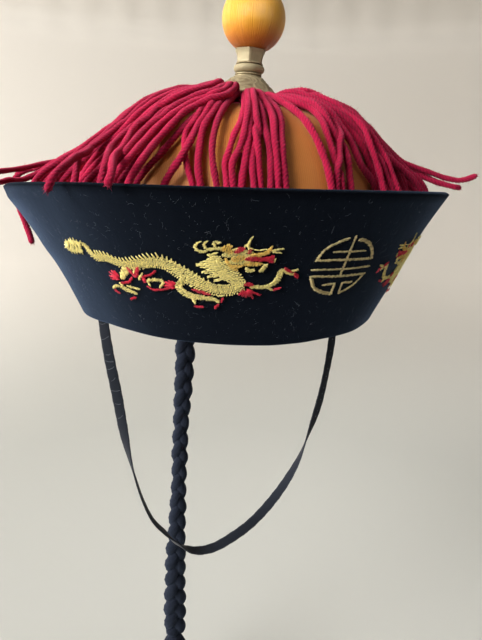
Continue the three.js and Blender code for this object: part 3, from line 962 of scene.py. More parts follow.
def make_crown(sizes, colours):
    """The satin crown, upright below and domed above, drawn smooth over its stiffener."""
    outer, top = sizes.crown_radius / MM, sizes.crown_height / MM
    shares = np.sin(np.linspace(math.pi / 2, 0.02, 30))
    levels = [(outer, height) for height in np.linspace(1.2, CROWN_WALL_HEIGHT, 8)[:-1]]
    levels += [(outer * share, crown_profile(outer, top, outer * share)) for share in shares
               if outer * share > 3.4]
    levels.append((3.2, top))
    rings = []
    for radius, height in levels:
        oval = math.sqrt(1.04 - 0.04 * height / top)
        shift_x, shift_y = crown_shift(height)
        rings.append((radius / oval * MM, radius * oval * MM, (shift_x * MM, shift_y * MM, height * MM)))
    crown = loft("satin_crown", rings, 112)
    apply_modifier(crown, "SOLIDIFY", thickness=sizes.crown_thickness, offset=-1.0, use_even_offset=True)
    apply_modifier(crown, "SUBSURF", levels=1, render_levels=1)
    points = points_of(crown)
    side = np.arctan2(points[:, 0], -points[:, 1])
    height = points[:, 2] / sizes.crown_height
    sag = 0.00025 * np.sin(4 * side + 1.0 + 3 * height)
    points -= unit(points * np.array([1, 1, 0.6])) * (0.0003 + sag)[:, None]
    # The wall's foot spreads out to the brim's, where the two are sewn together.
    brim_foot = FOOT_OUTSIDE + brim_swell(np.degrees(side), 0.03)[0]
    spread = np.clip(1 - points[:, 2] / (FOOT_HEIGHT * MM), 0, 1) ** 2
    push = np.maximum(brim_foot - FOOT_INSIDE, 0) * MM * spread
    points += unit(points * np.array([1, 1, 0])) * push[:, None]
    set_points(crown, points)
    shade(crown, 60)
    wrap_map(crown, side / (2 * math.pi) % 1, np.clip(height, 0, 1))
    dress(crown, satin_finish(colours), "satin", "crown")


# Finial

# The finial's middle line leans towards one side, and its rings lean only a little.
FINIAL_FOOT = Vector((4.57 * MM, -2.48 * MM, 127.6 * MM))
FINIAL_LEAN, RING_LEAN = math.radians(5.3), math.radians(2.2)

# How far the finial's middle stands aside of that line, by the height over its foot, in mm, and which way.
FINIAL_ASIDE = [(0, 0.45), (11, 1.2), (13, 1.35), (15.5, 1.35), (20, 1.1), (26, 0.8), (42, 0.6), (62, 0.6)]
ASIDE = np.array([0.879, -0.477, 0])

# Outlines of radius and height over the finial's foot, in mm.
DOME_OUTLINE = [(19.3, 0.0), (20.4, 0.15), (20.6, 0.9), (20.1, 1.6), (18.8, 2.5), (16.8, 4.2), (14.7, 6.0),
                (12.7, 7.7), (10.8, 9.3), (9.5, 10.3), (8.7, 10.9), (7.9, 11.15), (7.0, 11.4), (7.1, 11.7),
                (7.9, 11.9), (8.15, 12.3), (7.8, 12.75), (5.6, 12.9), (2.4, 12.9)]
DOME_UNDERSIDE = [(2.4, 9.9), (8.2, 9.3), (13.6, 5.0), (18.2, 1.5)]
COLLAR_OUTLINE = [(2.4, 13.1), (7.2, 13.1), (7.9, 13.25), (8.5, 13.75), (9.05, 14.6), (9.25, 15.5),
                  (9.05, 16.4), (8.5, 17.2), (7.9, 17.55), (6.3, 17.7), (2.4, 17.7)]
CALYX_OUTLINE = [(2.9, 17.9), (7.6, 17.9), (8.1, 18.0), (8.15, 18.3), (8.0, 18.8), (8.0, 20.2), (8.2, 21.8),
                 (8.65, 23.8), (9.25, 25.3), (9.6, 25.95), (9.6, 26.1), (8.9, 26.1), (6.6, 25.3), (2.9, 25.2)]

# The ball: height of its foot, its radius and the radius of its flat seat, in mm.
BALL_FOOT, BALL_RADIUS, BALL_SEAT = 24.31, 18.65, 8.4


def finial_turn(angle):
    side = math.radians(LEAN_SIDE)
    return Matrix.Rotation(angle, 3, (math.cos(side), math.sin(side), 0))


def finial_place(stretch_along=True, middle=0.0):
    """Places a finial piece: sheared along the leaning line, or only tilted about a middle height in mm."""
    rings, axis = finial_turn(RING_LEAN), finial_turn(FINIAL_LEAN) @ Vector((0, 0, 1))
    if stretch_along:
        place = Matrix((rings @ Vector((1, 0, 0)), rings @ Vector((0, 1, 0)), axis)).transposed().to_4x4()
        return Matrix.Translation(FINIAL_FOOT) @ place
    centre = FINIAL_FOOT + axis * middle * MM
    return Matrix.Translation(centre) @ rings.to_4x4() @ Matrix.Translation((0, 0, -middle * MM))


def turned_piece(name, outline, steps):
    rings = [(radius * MM, radius * MM, (0, 0, height * MM)) for radius, height in outline]
    return loft(name, rings, steps)


def fine_outline(outline, spacing):
    """An outline closed and cut into even steps."""
    rows = even_line(np.array(outline + outline[:1], float), spacing)
    return [tuple(row) for row in rows]


def emboss_dome(points):
    """Four wide ovals with double rims and a scroll in each, leaves between them, and a beaded lower rim."""
    side = np.arctan2(points[:, 1], points[:, 0])
    radius = np.linalg.norm(points[:, :2], axis=1) / MM
    height = points[:, 2] / MM
    slope = np.clip(height / 11.0, 0, 1)
    outer = (radius > np.interp(height, [0, 11, 13.6], [19.0, 8.6, 6.0])) & (height < 11.0)
    place = (side * 4 / (2 * math.pi) + 0.956) % 1 - 0.5
    between = (side * 4 / (2 * math.pi) + 0.456) % 1 - 0.5
    oval = np.sqrt((place / 0.44) ** 2 + ((slope - 0.7) / 0.25) ** 2)
    leaf = np.sqrt((between / 0.17) ** 2 + ((slope - 0.5) / 0.38) ** 2)
    lower = np.sqrt((place / 0.3) ** 2 + ((slope - 0.22) / 0.2) ** 2)
    swirl = np.cos(np.arctan2(slope - 0.7, place * 0.6) + 8.5 * oval)

    def ridge(distance, centre, width):
        return np.exp(-(((distance - centre) / width) ** 2))

    relief = 0.85 * ridge(oval, 1.0, 0.1) + 0.5 * ridge(oval, 0.76, 0.08)
    relief = np.maximum(relief, (oval < 0.62) * (0.35 + 0.35 * swirl))
    relief = np.maximum(relief, (oval > 1.1) * (0.7 * ridge(leaf, 1.0, 0.16) + 0.5 * ridge(leaf, 0.3, 0.3)))
    relief = np.maximum(relief, (oval > 1.1) * (0.6 * ridge(lower, 0.8, 0.16) + 0.5 * ridge(lower, 0.2, 0.3)))
    relief = np.maximum(relief, ridge(height, 1.5, 0.7) * (0.75 + 0.2 * np.cos(36 * side)))
    relief = np.where(outer, relief, 0.75)
    outward = unit(points * np.array([1, 1, 0]) + np.array([0, 0, 1]) * (radius[:, None] * 0.5 * MM))
    moved = points + outward * (np.where(outer, (relief - 0.55) * 0.62, 0) * MM)[:, None]
    return moved, 0.25 + 0.75 * relief


def flute_calyx(points):
    """Six flat petals that meet in sharp ribs, with a small notch between their tips."""
    side = np.arctan2(points[:, 1], points[:, 0])
    radius = np.linalg.norm(points[:, :2], axis=1)
    height = points[:, 2] / MM
    petal = (side / (math.pi / 3)) % 1 - 0.5
    flat = math.cos(math.pi / 6) / np.cos(petal * math.pi / 3)
    base = 18.2 + 0.6 * (np.abs(petal) * 2) ** 3
    share = np.clip((height - base) / 0.6, 0, 1) * (radius / MM > 6.9)
    factor = 1 + share * (flat / 0.945 - 1)
    seam = np.exp(-(((np.abs(petal) - 0.5) / 0.03) ** 2)) * share
    bulge = 0.012 * np.cos(petal * math.pi) * share
    width = factor + bulge - 0.035 * seam
    moved = points * np.stack([width, width, np.ones_like(side)], axis=1)
    tip = np.clip((height - 25.2) / 0.8, 0, 1)
    moved[:, 2] -= seam * tip * 0.9 * MM
    foot = np.exp(-(((height - base) / 0.35) ** 2)) * (radius / MM > 6.9)
    return moved, np.clip(1 - 0.9 * seam - 0.6 * foot, 0, 1)


def make_finial(colours):
    brass = brass_finish(colours)
    for name, outline, spacing, steps, work in (
            ("dome", DOME_OUTLINE + DOME_UNDERSIDE, 0.5, 208, emboss_dome),
            ("collar", COLLAR_OUTLINE, 0.5, 72, None),
            ("calyx", CALYX_OUTLINE, 0.42, 144, flute_calyx)):
        piece = turned_piece("brass_" + name, fine_outline(outline, spacing), steps)
        points = points_of(piece)
        relief = 0.85
        if work:
            points, relief = work(points)
        set_values(piece, "relief", np.broadcast_to(relief, len(points)))
        set_points(piece, points)
        piece.data.transform(finial_place())
        aside = look_up(FINIAL_ASIDE, points[:, 2] / MM) * MM
        set_points(piece, points_of(piece) + ASIDE * aside[:, None])
        shade(piece, 40)
        dress(piece, brass, "brass", "finial_" + name)
    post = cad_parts["finial_post"]
    post.data.materials.clear()
    post.data.materials.append(brass)
    make_ball(colours)


def make_ball(colours):
    """A wooden ball wound from pole to pole with floss, flat where it sits and dimpled on top."""
    seat_angle = math.asin(BALL_SEAT / BALL_RADIUS)
    outline = []
    for angle in np.linspace(seat_angle, math.pi - 0.02, 60):
        radius = BALL_RADIUS * math.sin(angle)
        height = BALL_RADIUS - BALL_RADIUS * math.cos(angle)
        dimple = 1.6 * math.exp(-((radius / 3.2) ** 2)) if angle > math.pi / 2 else 0
        outline.append((radius, BALL_FOOT + height - dimple))
    ball = turned_piece("wound_ball", outline, 120)
    fill_open_ends(ball)
    points = points_of(ball)
    side = np.arctan2(points[:, 1], points[:, 0])
    height = (points[:, 2] / MM - BALL_FOOT) / (2 * BALL_RADIUS)
    wrap_map(ball, side / (2 * math.pi) % 1, np.clip(height, 0, 1))
    ball.data.transform(finial_place(False, BALL_FOOT + BALL_RADIUS))
    ball.data.transform(Matrix.Translation(Vector(ASIDE) * FINIAL_ASIDE[-1][1] * MM))
    shade(ball, 60)
    dress(ball, floss_finish(colours), "gold_thread", "finial_ball")


# Fringe

# Yarns on the front of the crown: side angle, radius and height in mm. They start under the finial's dome.
FRONT_YARNS = [
    [(-42, 56, 117), (-50, 74, 104), (-55, 83, 91), (-62, 89, 76), (-63, 93, 62)],
    [(-45, 58, 117), (-48, 72, 106), (-49, 77, 101), (-48, 81, 95), (-46, 85, 87), (-44, 87, 80),
     (-42, 89, 74), (-41, 92, 60)],
    [(-43, 56, 119), (-45, 74, 104), (-45.5, 82, 96), (-46.5, 88, 88), (-49, 91.5, 80), (-51, 92, 73),
     (-51, 93, 60)],
    [(-38, 40, 125), (-41, 60, 116), (-42, 70, 108), (-43, 75, 103), (-42, 83, 91), (-41.5, 86, 85),
     (-40.5, 88, 79), (-39.5, 89, 74), (-39, 93, 60)],
    [(-36, 44, 122), (-37, 56, 117), (-38, 72, 107), (-38, 79, 99), (-37.5, 84, 91), (-36, 87.5, 82),
     (-34.5, 89, 74), (-34, 92, 60)],
    [(-28, 61, 115), (-29, 72, 106), (-31, 78, 99), (-32, 83, 91), (-33, 85, 85), (-32, 87, 80),
     (-31, 89, 74), (-31, 92, 62)],
    [(-26, 60, 117), (-27, 78, 100), (-29, 83, 91), (-30.5, 86, 86), (-30, 89, 74), (-29, 93, 60)],
    [(-25, 65, 113), (-26, 76, 102), (-26, 83, 90), (-27, 87, 80), (-27, 89, 73), (-27, 93, 58)],
    [(-24, 62, 117), (-23, 78, 99), (-24, 85, 86), (-23, 89, 74), (-23, 93, 60)],
    [(-24, 45, 122), (-22, 63, 114), (-20, 73, 105), (-19, 79, 98), (-18, 83, 91), (-18, 89, 74),
     (-18, 94, 60)],
    [(-21, 50, 120), (-23, 73, 105), (-23, 82, 94), (-22, 86, 83), (-21, 89, 73), (-20, 93, 60)],
    [(-16, 46, 121), (-13, 67, 111), (-14, 79, 98), (-14, 85, 87), (-13, 89, 74), (-12, 93, 60)],
    [(-18, 50, 120), (-16.5, 72, 108), (-17, 82, 94), (-16, 87, 82), (-15.5, 90, 70)],
    [(-6, 52, 119), (-2, 68, 110), (0, 77, 101), (2, 82, 92), (3, 87, 82), (4, 89, 74), (5, 93, 60)],
    [(4, 50, 120), (10, 61, 115), (7, 73, 106), (7, 81, 94), (8, 87, 82), (9, 90, 70)],
    [(14, 48, 121), (18, 62, 114), (15, 74, 105), (11, 80, 97), (7, 86, 85), (6, 89, 74), (6, 93, 60)],
    [(10, 60, 118), (12, 76, 102), (14, 81, 95), (13, 86, 85), (13, 89, 74), (13, 93, 60)],
    [(17, 58, 118), (20, 76, 102), (22, 85, 87), (28, 88, 80), (33, 90, 72), (36, 94, 60)],
]
# Yarns that run out over the brim at the sides and end just past its edge, or hang down in front of it.
SIDE_YARNS = [
    [(-50, 44, 130.5), (-59, 59, 123.5), (-66, 70, 117.5), (-69, 77, 113), (-69, 83, 107), (-64, 95, 97),
     (-59, 111, 89), (-54, 125, 83), (-51.5, 133, 79), (-51, 136.5, 75.5), (-51, 137.5, 73.5)],
    [(-54, 45, 128), (-62, 60, 121), (-68, 76, 111), (-70, 88, 101), (-67, 100, 93), (-62, 110, 86),
     (-60, 117, 76), (-60, 120, 64)],
    [(-88, 60, 124), (-86, 80, 110), (-79, 97, 96), (-72, 112, 88), (-67, 124, 82.5), (-65.3, 132, 79),
     (-65.3, 136, 74), (-65.8, 136.5, 70)],
    [(-80, 62, 122), (-80, 84, 105), (-78, 99, 94), (-73, 110, 86), (-69, 117, 76), (-68, 120, 64)],
    [(-39, 58, 119), (-46, 64, 115.5), (-52, 72, 110.5), (-53, 79, 105), (-55, 88, 96), (-54, 102, 86.5),
     (-54.5, 111, 76), (-55, 114, 64)],
    [(-41, 56, 121.5), (-50, 62, 117.5), (-55, 72, 111), (-58, 81, 103.5), (-58.5, 92, 94.5),
     (-57, 106, 85.5), (-58, 114, 76), (-58, 117, 64)],
    [(-44, 56, 122), (-54, 64, 117.5), (-60, 76, 109), (-62, 84, 102), (-61, 96, 93), (-60, 108, 84),
     (-61, 115, 75), (-61, 118, 63)],
    [(-114, 62, 121), (-116, 86, 103), (-118, 103, 91), (-119, 116, 83), (-118.5, 126, 77.5), (-117, 130, 75),
     (-112, 137, 73.2), (-107, 146, 72)],
    [(-124, 60, 122.5), (-122, 83, 106), (-120, 103, 92), (-118, 117, 86), (-114, 128, 81.5), (-108, 138, 79),
     (-104, 148, 77)],
    [(-118, 62, 120), (-120, 86, 103), (-121, 103, 92), (-121.5, 118, 85), (-121.5, 127, 83),
     (-121.5, 134, 80.5), (-121.5, 139.5, 76.5), (-121.4, 141, 70), (-121, 138, 60), (-120, 133.5, 50),
     (-119.3, 129.5, 41), (-118.8, 127.5, 35)],
    [(58, 60, 123.5), (61, 74, 116.5), (61, 83, 108), (61, 91, 101), (61, 103, 93), (60, 117, 89),
     (60, 130, 84.5), (60, 137, 82.5), (60, 143, 83.5), (60, 149, 86)],
    [(66, 60, 123), (66, 83, 107), (65, 100, 93), (64, 117, 86), (64, 130, 81), (63, 141, 78.5),
     (62.5, 143, 78)],
    [(72, 60, 122), (70, 83, 106), (66, 100, 92), (62, 112, 86), (58, 124, 80.8), (57, 134, 78.5),
     (57, 136, 78)],
    [(44, 56, 121), (43, 74, 109), (44, 86, 97), (46, 98, 88), (49, 107, 81), (51, 114, 72), (52, 117, 62)],
]
# Dense groups: number of yarns, side angles at the dome, side angles at the ends, kind of fall, how freely
# the first and last yarn stand off the crown, how far they reach (a share, or mm for "over"), and the piece.
YARN_GROUPS = [
    (33, (-130, -52), (-142, -60), "sink", (1.15, 0.5), (0.85, 1.25), "left"),
    (6, (-122, -92), (-126, -92), "edge", (1, 1), (1.0, 1.05), "left"),
    (4, (-128, -110), (-146, -122), "over", (1, 1), (117, 126), "left"),
    (30, (26, 106), (30, 116), "sink", (0.1, 1.3), (0.8, 1.25), "right"),
    (13, (18, 58), (37, 66), "sink", (0.1, 0.8), (0.8, 1.0), "right"),
    (11, (50, 92), (56, 100), "edge", (1, 1), (0.94, 1.0), "right"),
    (6, (66, 104), (74, 112), "over", (1, 1), (134, 143), "right"),
    (28, (112, 222), (116, 214), "sink", (1.0, 1.0), (0.75, 1.2), "back"),
    (6, (150, 206), (150, 200), "over", (1, 1), (132, 140), "back"),
]
# Radius and height of a yarn's middle where it runs out over the brim, sinks behind it, or hugs the crown.
FALLS = {
    "over": [(36, 129.4), (50, 125.6), (65, 118.5), (75, 112), (83, 104.5), (91, 97.5), (103, 90.5),
             (117, 86), (130, 82), (140, 80), (150, 77.5)],
    "sink": [(36, 129), (50, 125), (65, 118), (75, 110.5), (83, 102.5), (91, 94.5), (100, 87.5), (108, 80.5),
             (115, 71), (119, 61)],
    "edge": [(36, 129), (50, 125), (65, 118), (75, 111), (83, 103.5), (91, 96), (100, 90), (108, 85.5),
             (116, 80), (121, 74), (121.5, 69), (118, 61)],
    "close": [(36, 127), (50, 123), (62, 116.5), (71, 109.5), (79, 101), (85, 92), (89.5, 83), (93, 74.5),
              (96.5, 66), (99, 58)],
}

# How much lower the fringe's outline is on the hat's right side, over its radius, in mm.
RIGHT_DIP = [(17, 3.0), (23, 2.6), (30, 0.5), (38, 1.6), (46, 2.8), (60, 2.0), (70, 3.3), (77, 5.5),
             (84, 5.0), (91, 3.2), (103, 3.0), (117, 2.4), (160, 2.2)]

# Greatest heights of the fringe over its radius, at the sides and over the front window of the crown.
SIDE_CEILING = [(17, 129.2), (24, 130.8), (30, 133.2), (36, 133.6), (47, 130.5), (54, 127.3), (64, 122.6),
                (75, 115.3), (83, 109), (91, 101), (103, 93.3), (117, 88.8), (130, 84.8), (139, 84),
                (146, 86.5), (153, 89.5), (160, 92)]

FRONT_CEILING = [(20, 127.4), (30, 126.8), (40, 125.4), (50, 123), (65, 117.5), (75, 111), (83, 103),
                 (91, 92), (96, 80), (160, 80)]

# How much lower that outline is on the hat's left side, over its radius, in mm.
LEFT_DIP = [(17, 1), (30, 2), (50, 1.6), (68, 0), (78, -0.8), (88, -1.2), (100, 0)]

# How much higher the yarns of a group start out on the hat's left side, over their radius, in mm.
LEFT_LIFT = [(30, -1.2), (46, -1.4), (66, 0.4), (76, 2.2), (84, 3.0), (92, 2.0), (102, 0)]

# How much lower each layer of a group lies than the one above it, over its radius, in mm.
LAYER_DROP = [(30, 3.0), (60, 3.2), (100, 2.8), (150, 1.5)]

# In mm: step along a yarn while it settles, how far apart the middles of two yarns stay, and how far a middle
# stays under the outline.
YARN_SPACING = 3.0
YARN_APART = 3.55
YARN_HALF = 1.9

# Radius and top of the dome that a yarn's middle starts on, and of the one that pushes it out, in mm.
START_DOME = (91.4, 123.4)
PUSH_DOME = (91.3, 123.3)

# The brim as the yarns meet it, in mm: half width and half length of its upper edge, height of a middle that
# lies on the edge, half the wall, how far a middle stays off it, and the height of the rounded edge's middle.
BRIM_HALF_WIDTH = 130.5
RIM_WIDTH, RIM_LENGTH = 130.4, 136.9
RIM_REST = 76.6
HALF_WALL, YARN_CLEARANCE = 1.5, 2.15
EDGE_MIDDLE = 73.4

# A loose yarn lower than this stays inside the brim, in mm.
INSIDE_BELOW = 73


def brim_reach(side):
    """Distance of the brim's upper edge from the axis, in mm."""
    side = np.radians(side)
    return np.hypot(RIM_WIDTH * np.sin(side), -RIM_LENGTH * np.cos(side) + BRIM_LEAN)


def crown_floor(radius):
    """Lowest height for a yarn's middle that rests on the crown at a radius."""
    outer, top = START_DOME
    share = np.clip(np.asarray(radius, float) / outer, 0, 1) ** CROWN_FULLNESS
    return CROWN_WALL_HEIGHT + (top - CROWN_WALL_HEIGHT) * np.sqrt(1 - share)


def rooted(points, rise):
    """A yarn's points with its start under the dome and its bend over the dome's lower rim."""
    side = points[0][0]
    sag = 3.6 * min(max((-30 - side) / 20, 0), 1) * min(max((side + 150) / 20, 0), 1)
    start = [(side, 12, 123.4), (side, 19.5, 123.8), (side, 26, 124.3 + max(rise * 4.4 - sag, 0)),
             (side, 33, 124.0 + max(rise * 5.8 - sag / 2, 0))]
    return start + [row for row in points if row[1] > 36]


def group_yarn(rng, side_start, side_end, kind, freedom, reach, layer):
    if kind == "over":
        path = np.array(FALLS["over"], float)
        path = path[path[:, 0] < reach - 4]
        path = np.vstack([path, [reach, look_up(FALLS["over"], reach)]])
        outer = brim_reach(side_end) / BRIM_HALF_WIDTH
        path[:, 0] *= 1 + (outer - 1) * np.clip((path[:, 0] - 95) / 35, 0, 1)
    elif kind == "edge":
        path = np.array(FALLS["edge"], float)
        path[:, 0] += np.maximum(path[:, 0] - 83, 0) * (reach - 1) * 0.7
    else:
        path = np.array(FALLS["sink"]) * freedom + np.array(FALLS["close"]) * (1 - freedom)
        path[:, 0] += np.maximum(path[:, 0] - 83, 0) * (reach - 1) * 0.7
    radii, heights = path.T
    heights = heights - layer * look_up(LAYER_DROP, radii)
    if 20 < side_start < 110:
        heights = heights + look_up(LEFT_LIFT, radii)
    if kind == "over":
        heights = np.where(radii > 110, np.maximum(heights, RIM_REST), heights)
    else:
        heights = np.where(radii < 88, np.maximum(heights, crown_floor(radii)), heights)
    spread = np.clip((radii - 30) / 100, 0, 1)
    wander = np.cumsum(rng.normal(0, 0.9, len(radii))) * np.array(70 / np.maximum(radii, 40))
    sides = side_start + (side_end - side_start) * spread**0.8 + wander
    return rooted(list(zip(sides, radii, heights)), 0.95 - 0.3 * layer)


def yarn_plans(seed):
    """Rows of points for each yarn, with how firmly it keeps its place and the piece it belongs to."""
    rng = np.random.default_rng(seed)
    plans = []
    for rows in FRONT_YARNS:
        plans.append((rooted(rows, 0.1), 0.1, "front"))
    for rows in SIDE_YARNS:
        plans.append((rooted(rows, 1.0), 0.12, "left" if rows[0][0] < 0 else "right"))
    for count, starts, ends, kind, freedom, reach, name in YARN_GROUPS:
        for k in range(count):
            share = (k + 0.5 + rng.uniform(-0.3, 0.3)) / count
            side_start = starts[0] + (starts[1] - starts[0]) * share
            side_end = ends[0] + (ends[1] - ends[0]) * share + rng.normal(0, 3)
            layer = (0, 2, 1)[k % 3]
            free_share = freedom[0] + (freedom[1] - freedom[0]) * share
            rows = group_yarn(rng, side_start, side_end, kind, free_share, rng.uniform(*reach), layer)
            plans.append((rows, 1.0, name))
    return plans


def settle(points, owner, grip, fixed, rounds):
    """Pushes yarns apart and out of the crown and brim, and smooths them, all in mm."""
    start = points.copy()
    inner = np.zeros(len(points), bool)
    inner[1:-1] = (owner[:-2] == owner[1:-1]) & (owner[2:] == owner[1:-1])
    middle = np.flatnonzero(inner)
    linked = np.flatnonzero(owner[:-1] == owner[1:])
    rest = np.linalg.norm(points[linked + 1] - points[linked], axis=1)
    room = np.interp(np.hypot(points[:, 0], points[:, 1]), [22, 42], [0.35, 1.0])
    free = np.where(fixed, 0.0, 1.0)
    moves = free * grip
    led = grip < 0.5
    for turn in range(rounds):
        if turn % 5 == 0:
            first, second = near_pairs(points, owner, YARN_APART + 1.6)
        gap = points[second] - points[first]
        distance = np.linalg.norm(gap, axis=1)
        wanted = YARN_APART * np.minimum(room[first], room[second])
        push = np.clip(wanted - distance, 0, 1.2) * 0.5
        both = moves[first] + moves[second] + 1e-9
        step = gap / np.maximum(distance, 1e-6)[:, None] * push[:, None]
        np.add.at(points, first, -step * (2 * moves[first] / both * (moves[first] > 0))[:, None] * 0.6)
        np.add.at(points, second, step * (2 * moves[second] / both * (moves[second] > 0))[:, None] * 0.6)
        bend = 0.5 * (points[middle - 1] + points[middle + 1]) - points[middle]
        points[middle] += bend * (np.where(led[middle], 0.1, 0.22) * free[middle])[:, None]
        link = points[linked + 1] - points[linked]
        length = np.linalg.norm(link, axis=1)
        pull = link * ((length - rest) / np.maximum(length, 1e-6) * 0.35)[:, None]
        np.add.at(points, linked, pull * free[linked][:, None])
        np.add.at(points, linked + 1, -pull * free[linked + 1][:, None])
        points += (start - points) * (np.where(led, 0.22, 0.02) * free)[:, None]
        keep_off_crown(points, free)
        keep_off_brim(points, free, ~led)
        keep_below_ceiling(points, free, np.where(led, 0.7, 0.0))
    return points


def keep_below_ceiling(points, free, room):
    """Holds yarns under the fringe's outline, which is lower over the crown's front and to both sides."""
    shift_x, shift_y = crown_shift(points[:, 2])
    x, y = points[:, 0] - shift_x, points[:, 1] - shift_y
    radius, side = np.hypot(x, y), np.degrees(np.arctan2(x, -y))
    front = np.clip((side + 62) / 14, 0, 1) * np.clip((24 - side) / 14, 0, 1) * (room < 0.5)
    right = np.clip(1 - (np.abs(side + 98) - 46) / 16, 0, 1)
    high = look_up(SIDE_CEILING, radius) - right * look_up(RIGHT_DIP, radius)
    high -= np.clip((side - 20) / 10, 0, 1) * look_up(LEFT_DIP, radius)
    low = look_up(FRONT_CEILING, radius)
    top = high + (low - high) * front - YARN_HALF + room
    points[:, 2] -= np.clip(points[:, 2] - top, 0, 3) * (free > 0)


def near_pairs(points, owner, reach):
    tree = kdtree.KDTree(len(points))
    rows = points.tolist()
    for i, row in enumerate(rows):
        tree.insert(row, i)
    tree.balance()
    owners = owner.tolist()
    first, second = [], []
    for i, row in enumerate(rows):
        for _, j, _ in tree.find_range(row, reach):
            if j > i and owners[j] != owners[i]:
                first.append(i)
                second.append(j)
    return np.array(first), np.array(second)


def keep_off_crown(points, free):
    shift_x, shift_y = crown_shift(points[:, 2])
    x, y = points[:, 0] - shift_x, points[:, 1] - shift_y
    radius = np.maximum(np.hypot(x, y), 1e-6)
    outer, rise = PUSH_DOME[0], PUSH_DOME[1] - CROWN_WALL_HEIGHT
    height = np.maximum(points[:, 2] - CROWN_WALL_HEIGHT, 0) / rise
    level = (radius / outer) ** CROWN_FULLNESS + height**2 - 1
    slope_out = CROWN_FULLNESS * (radius / outer) ** (CROWN_FULLNESS - 1) / outer
    slope_up = 2 * height / rise
    steep = slope_out**2 + slope_up**2
    step = np.where((level < 0) & (free > 0), np.clip(-level / np.maximum(steep, 1e-9), 0, 400), 0)
    out = np.clip(step * slope_out, 0, 1.5)
    points[:, 0] += x / radius * out
    points[:, 1] += y / radius * out
    points[:, 2] += np.clip(step * slope_up, 0, 1.5)


def keep_off_brim(points, free, loose):
    """Keeps yarns off the brim's wall; loose ones stay inside it where they are lower than its edge."""
    rise = np.clip(points[:, 2] / BRIM_RISE, 0, 1)
    flare = brim_flare(rise)
    oval = brim_oval(flare)
    x, y = points[:, 0] * oval, (points[:, 1] - BRIM_LEAN * flare) / oval
    radius = np.maximum(np.hypot(x, y), 1e-6)
    out, up = brim_swell(np.degrees(np.arctan2(x, -y)), rise)
    wall = BRIM_FOOT + BRIM_SPREAD * flare - HALF_WALL + out
    aside = (radius - wall) * np.where(points[:, 2] < BRIM_RISE, SLOPE_OUT, 1.0)
    above = np.maximum(points[:, 2] - EDGE_MIDDLE - up, 0)
    distance = np.hypot(aside, above)
    clear = HALF_WALL + YARN_CLEARANCE
    push = np.where((distance < clear) & (free > 0), clear - distance, 0)
    share_up = np.where(above > 0, above / np.maximum(distance, 1e-6), 0.0)
    share_out = aside / np.maximum(distance, 1e-6)
    inner = loose & (free > 0) & (points[:, 2] < INSIDE_BELOW) & (aside > -clear)
    push = np.where(inner, np.clip(aside + clear, 0, 1.5), push)
    share_out, share_up = np.where(inner, -1.0, share_out), np.where(inner, 0.0, share_up)
    points[:, 0] += x / radius * push * share_out
    points[:, 1] += y / radius * push * share_out
    points[:, 2] += push * share_up


def make_fringe(sizes, colours, seed):
    plans = yarn_plans(seed)
    lines, owner, grip, fixed = [], [], [], []
    for k, (rows, firmness, _) in enumerate(plans):
        rows = np.array(rows, float)
        line = smooth_line(around(rows[:, 0], rows[:, 1], rows[:, 2]) / MM, YARN_SPACING)
        lines.append(line)
        owner += [k] * len(line)
        grip += [firmness] * len(line)
        fixed += list(np.hypot(line[:, 0], line[:, 1]) < 22)
    counts = np.cumsum([len(line) for line in lines])[:-1]
    points = settle(np.concatenate(lines), np.array(owner), np.array(grip), np.array(fixed), 60)
    settled = np.split(points, counts)
    rng = np.random.default_rng(seed + 1)
    heaps = {name: Heap() for name in ("front", "left", "right", "back")}
    fuzz = Heap()
    plies = 4
    angles = np.radians([360 / plies * (ply + share) for ply in range(plies) for share in (0, 1 / 3, 2 / 3)])
    lobes = np.tile([0.85, 1.0, 1.0], plies)
    # Per point round a yarn: 0 in the valleys between plies, where shade is painted, up to nearly 1 on the
    # plies' tops.
    groove = np.tile([0.0, 0.95, 0.85], plies)
    for line, (_, _, name) in zip(settled, plans):
        line = smooth_line(line * MM, sizes.ply_length / 7)
        run = run_of(line)
        twist = run / sizes.ply_length * 2 * math.pi + 0.5 * np.sin(run / MM * 0.11 + rng.uniform(0, 6))
        girth = np.interp(np.hypot(line[:, 0], line[:, 1]) / MM, [12, 20, 30, 42], [0.5, 0.6, 0.85, 1.0])
        girth = girth * np.interp((run[-1] - run) / MM, [0, 0.8, 1.6, 5], [0.6, 0.95, 1.06, 1.0])
        girth = girth * (1 + 0.05 * np.sin(run / MM * 0.45 + rng.uniform(0, 6)))
        radius = sizes.yarn_diameter / 2 * rng.uniform(0.9, 1.08)
        shape = radius * girth[:, None] * lobes[None]
        parts = tube(line, angles[None] + twist[:, None] + rng.uniform(0, 6), shape)
        shade_value = rng.uniform(0, 1)
        heaps[name].add(*parts, groove=np.append(np.tile(groove, len(line)), [0.5, 0.5]), shade=shade_value)
        add_fuzz(fuzz, line, radius * girth, rng, shade_value)
    finish = yarn_finish("crimson_yarn", colours.yarn, colours.yarn_shade, srgb(255, 130, 165))
    for name, heap in heaps.items():
        dress(heap.piece("fringe_" + name), finish, "yarn", "fringe")
    dress(fuzz.piece("fringe_fuzz"), finish, "yarn", "fringe")


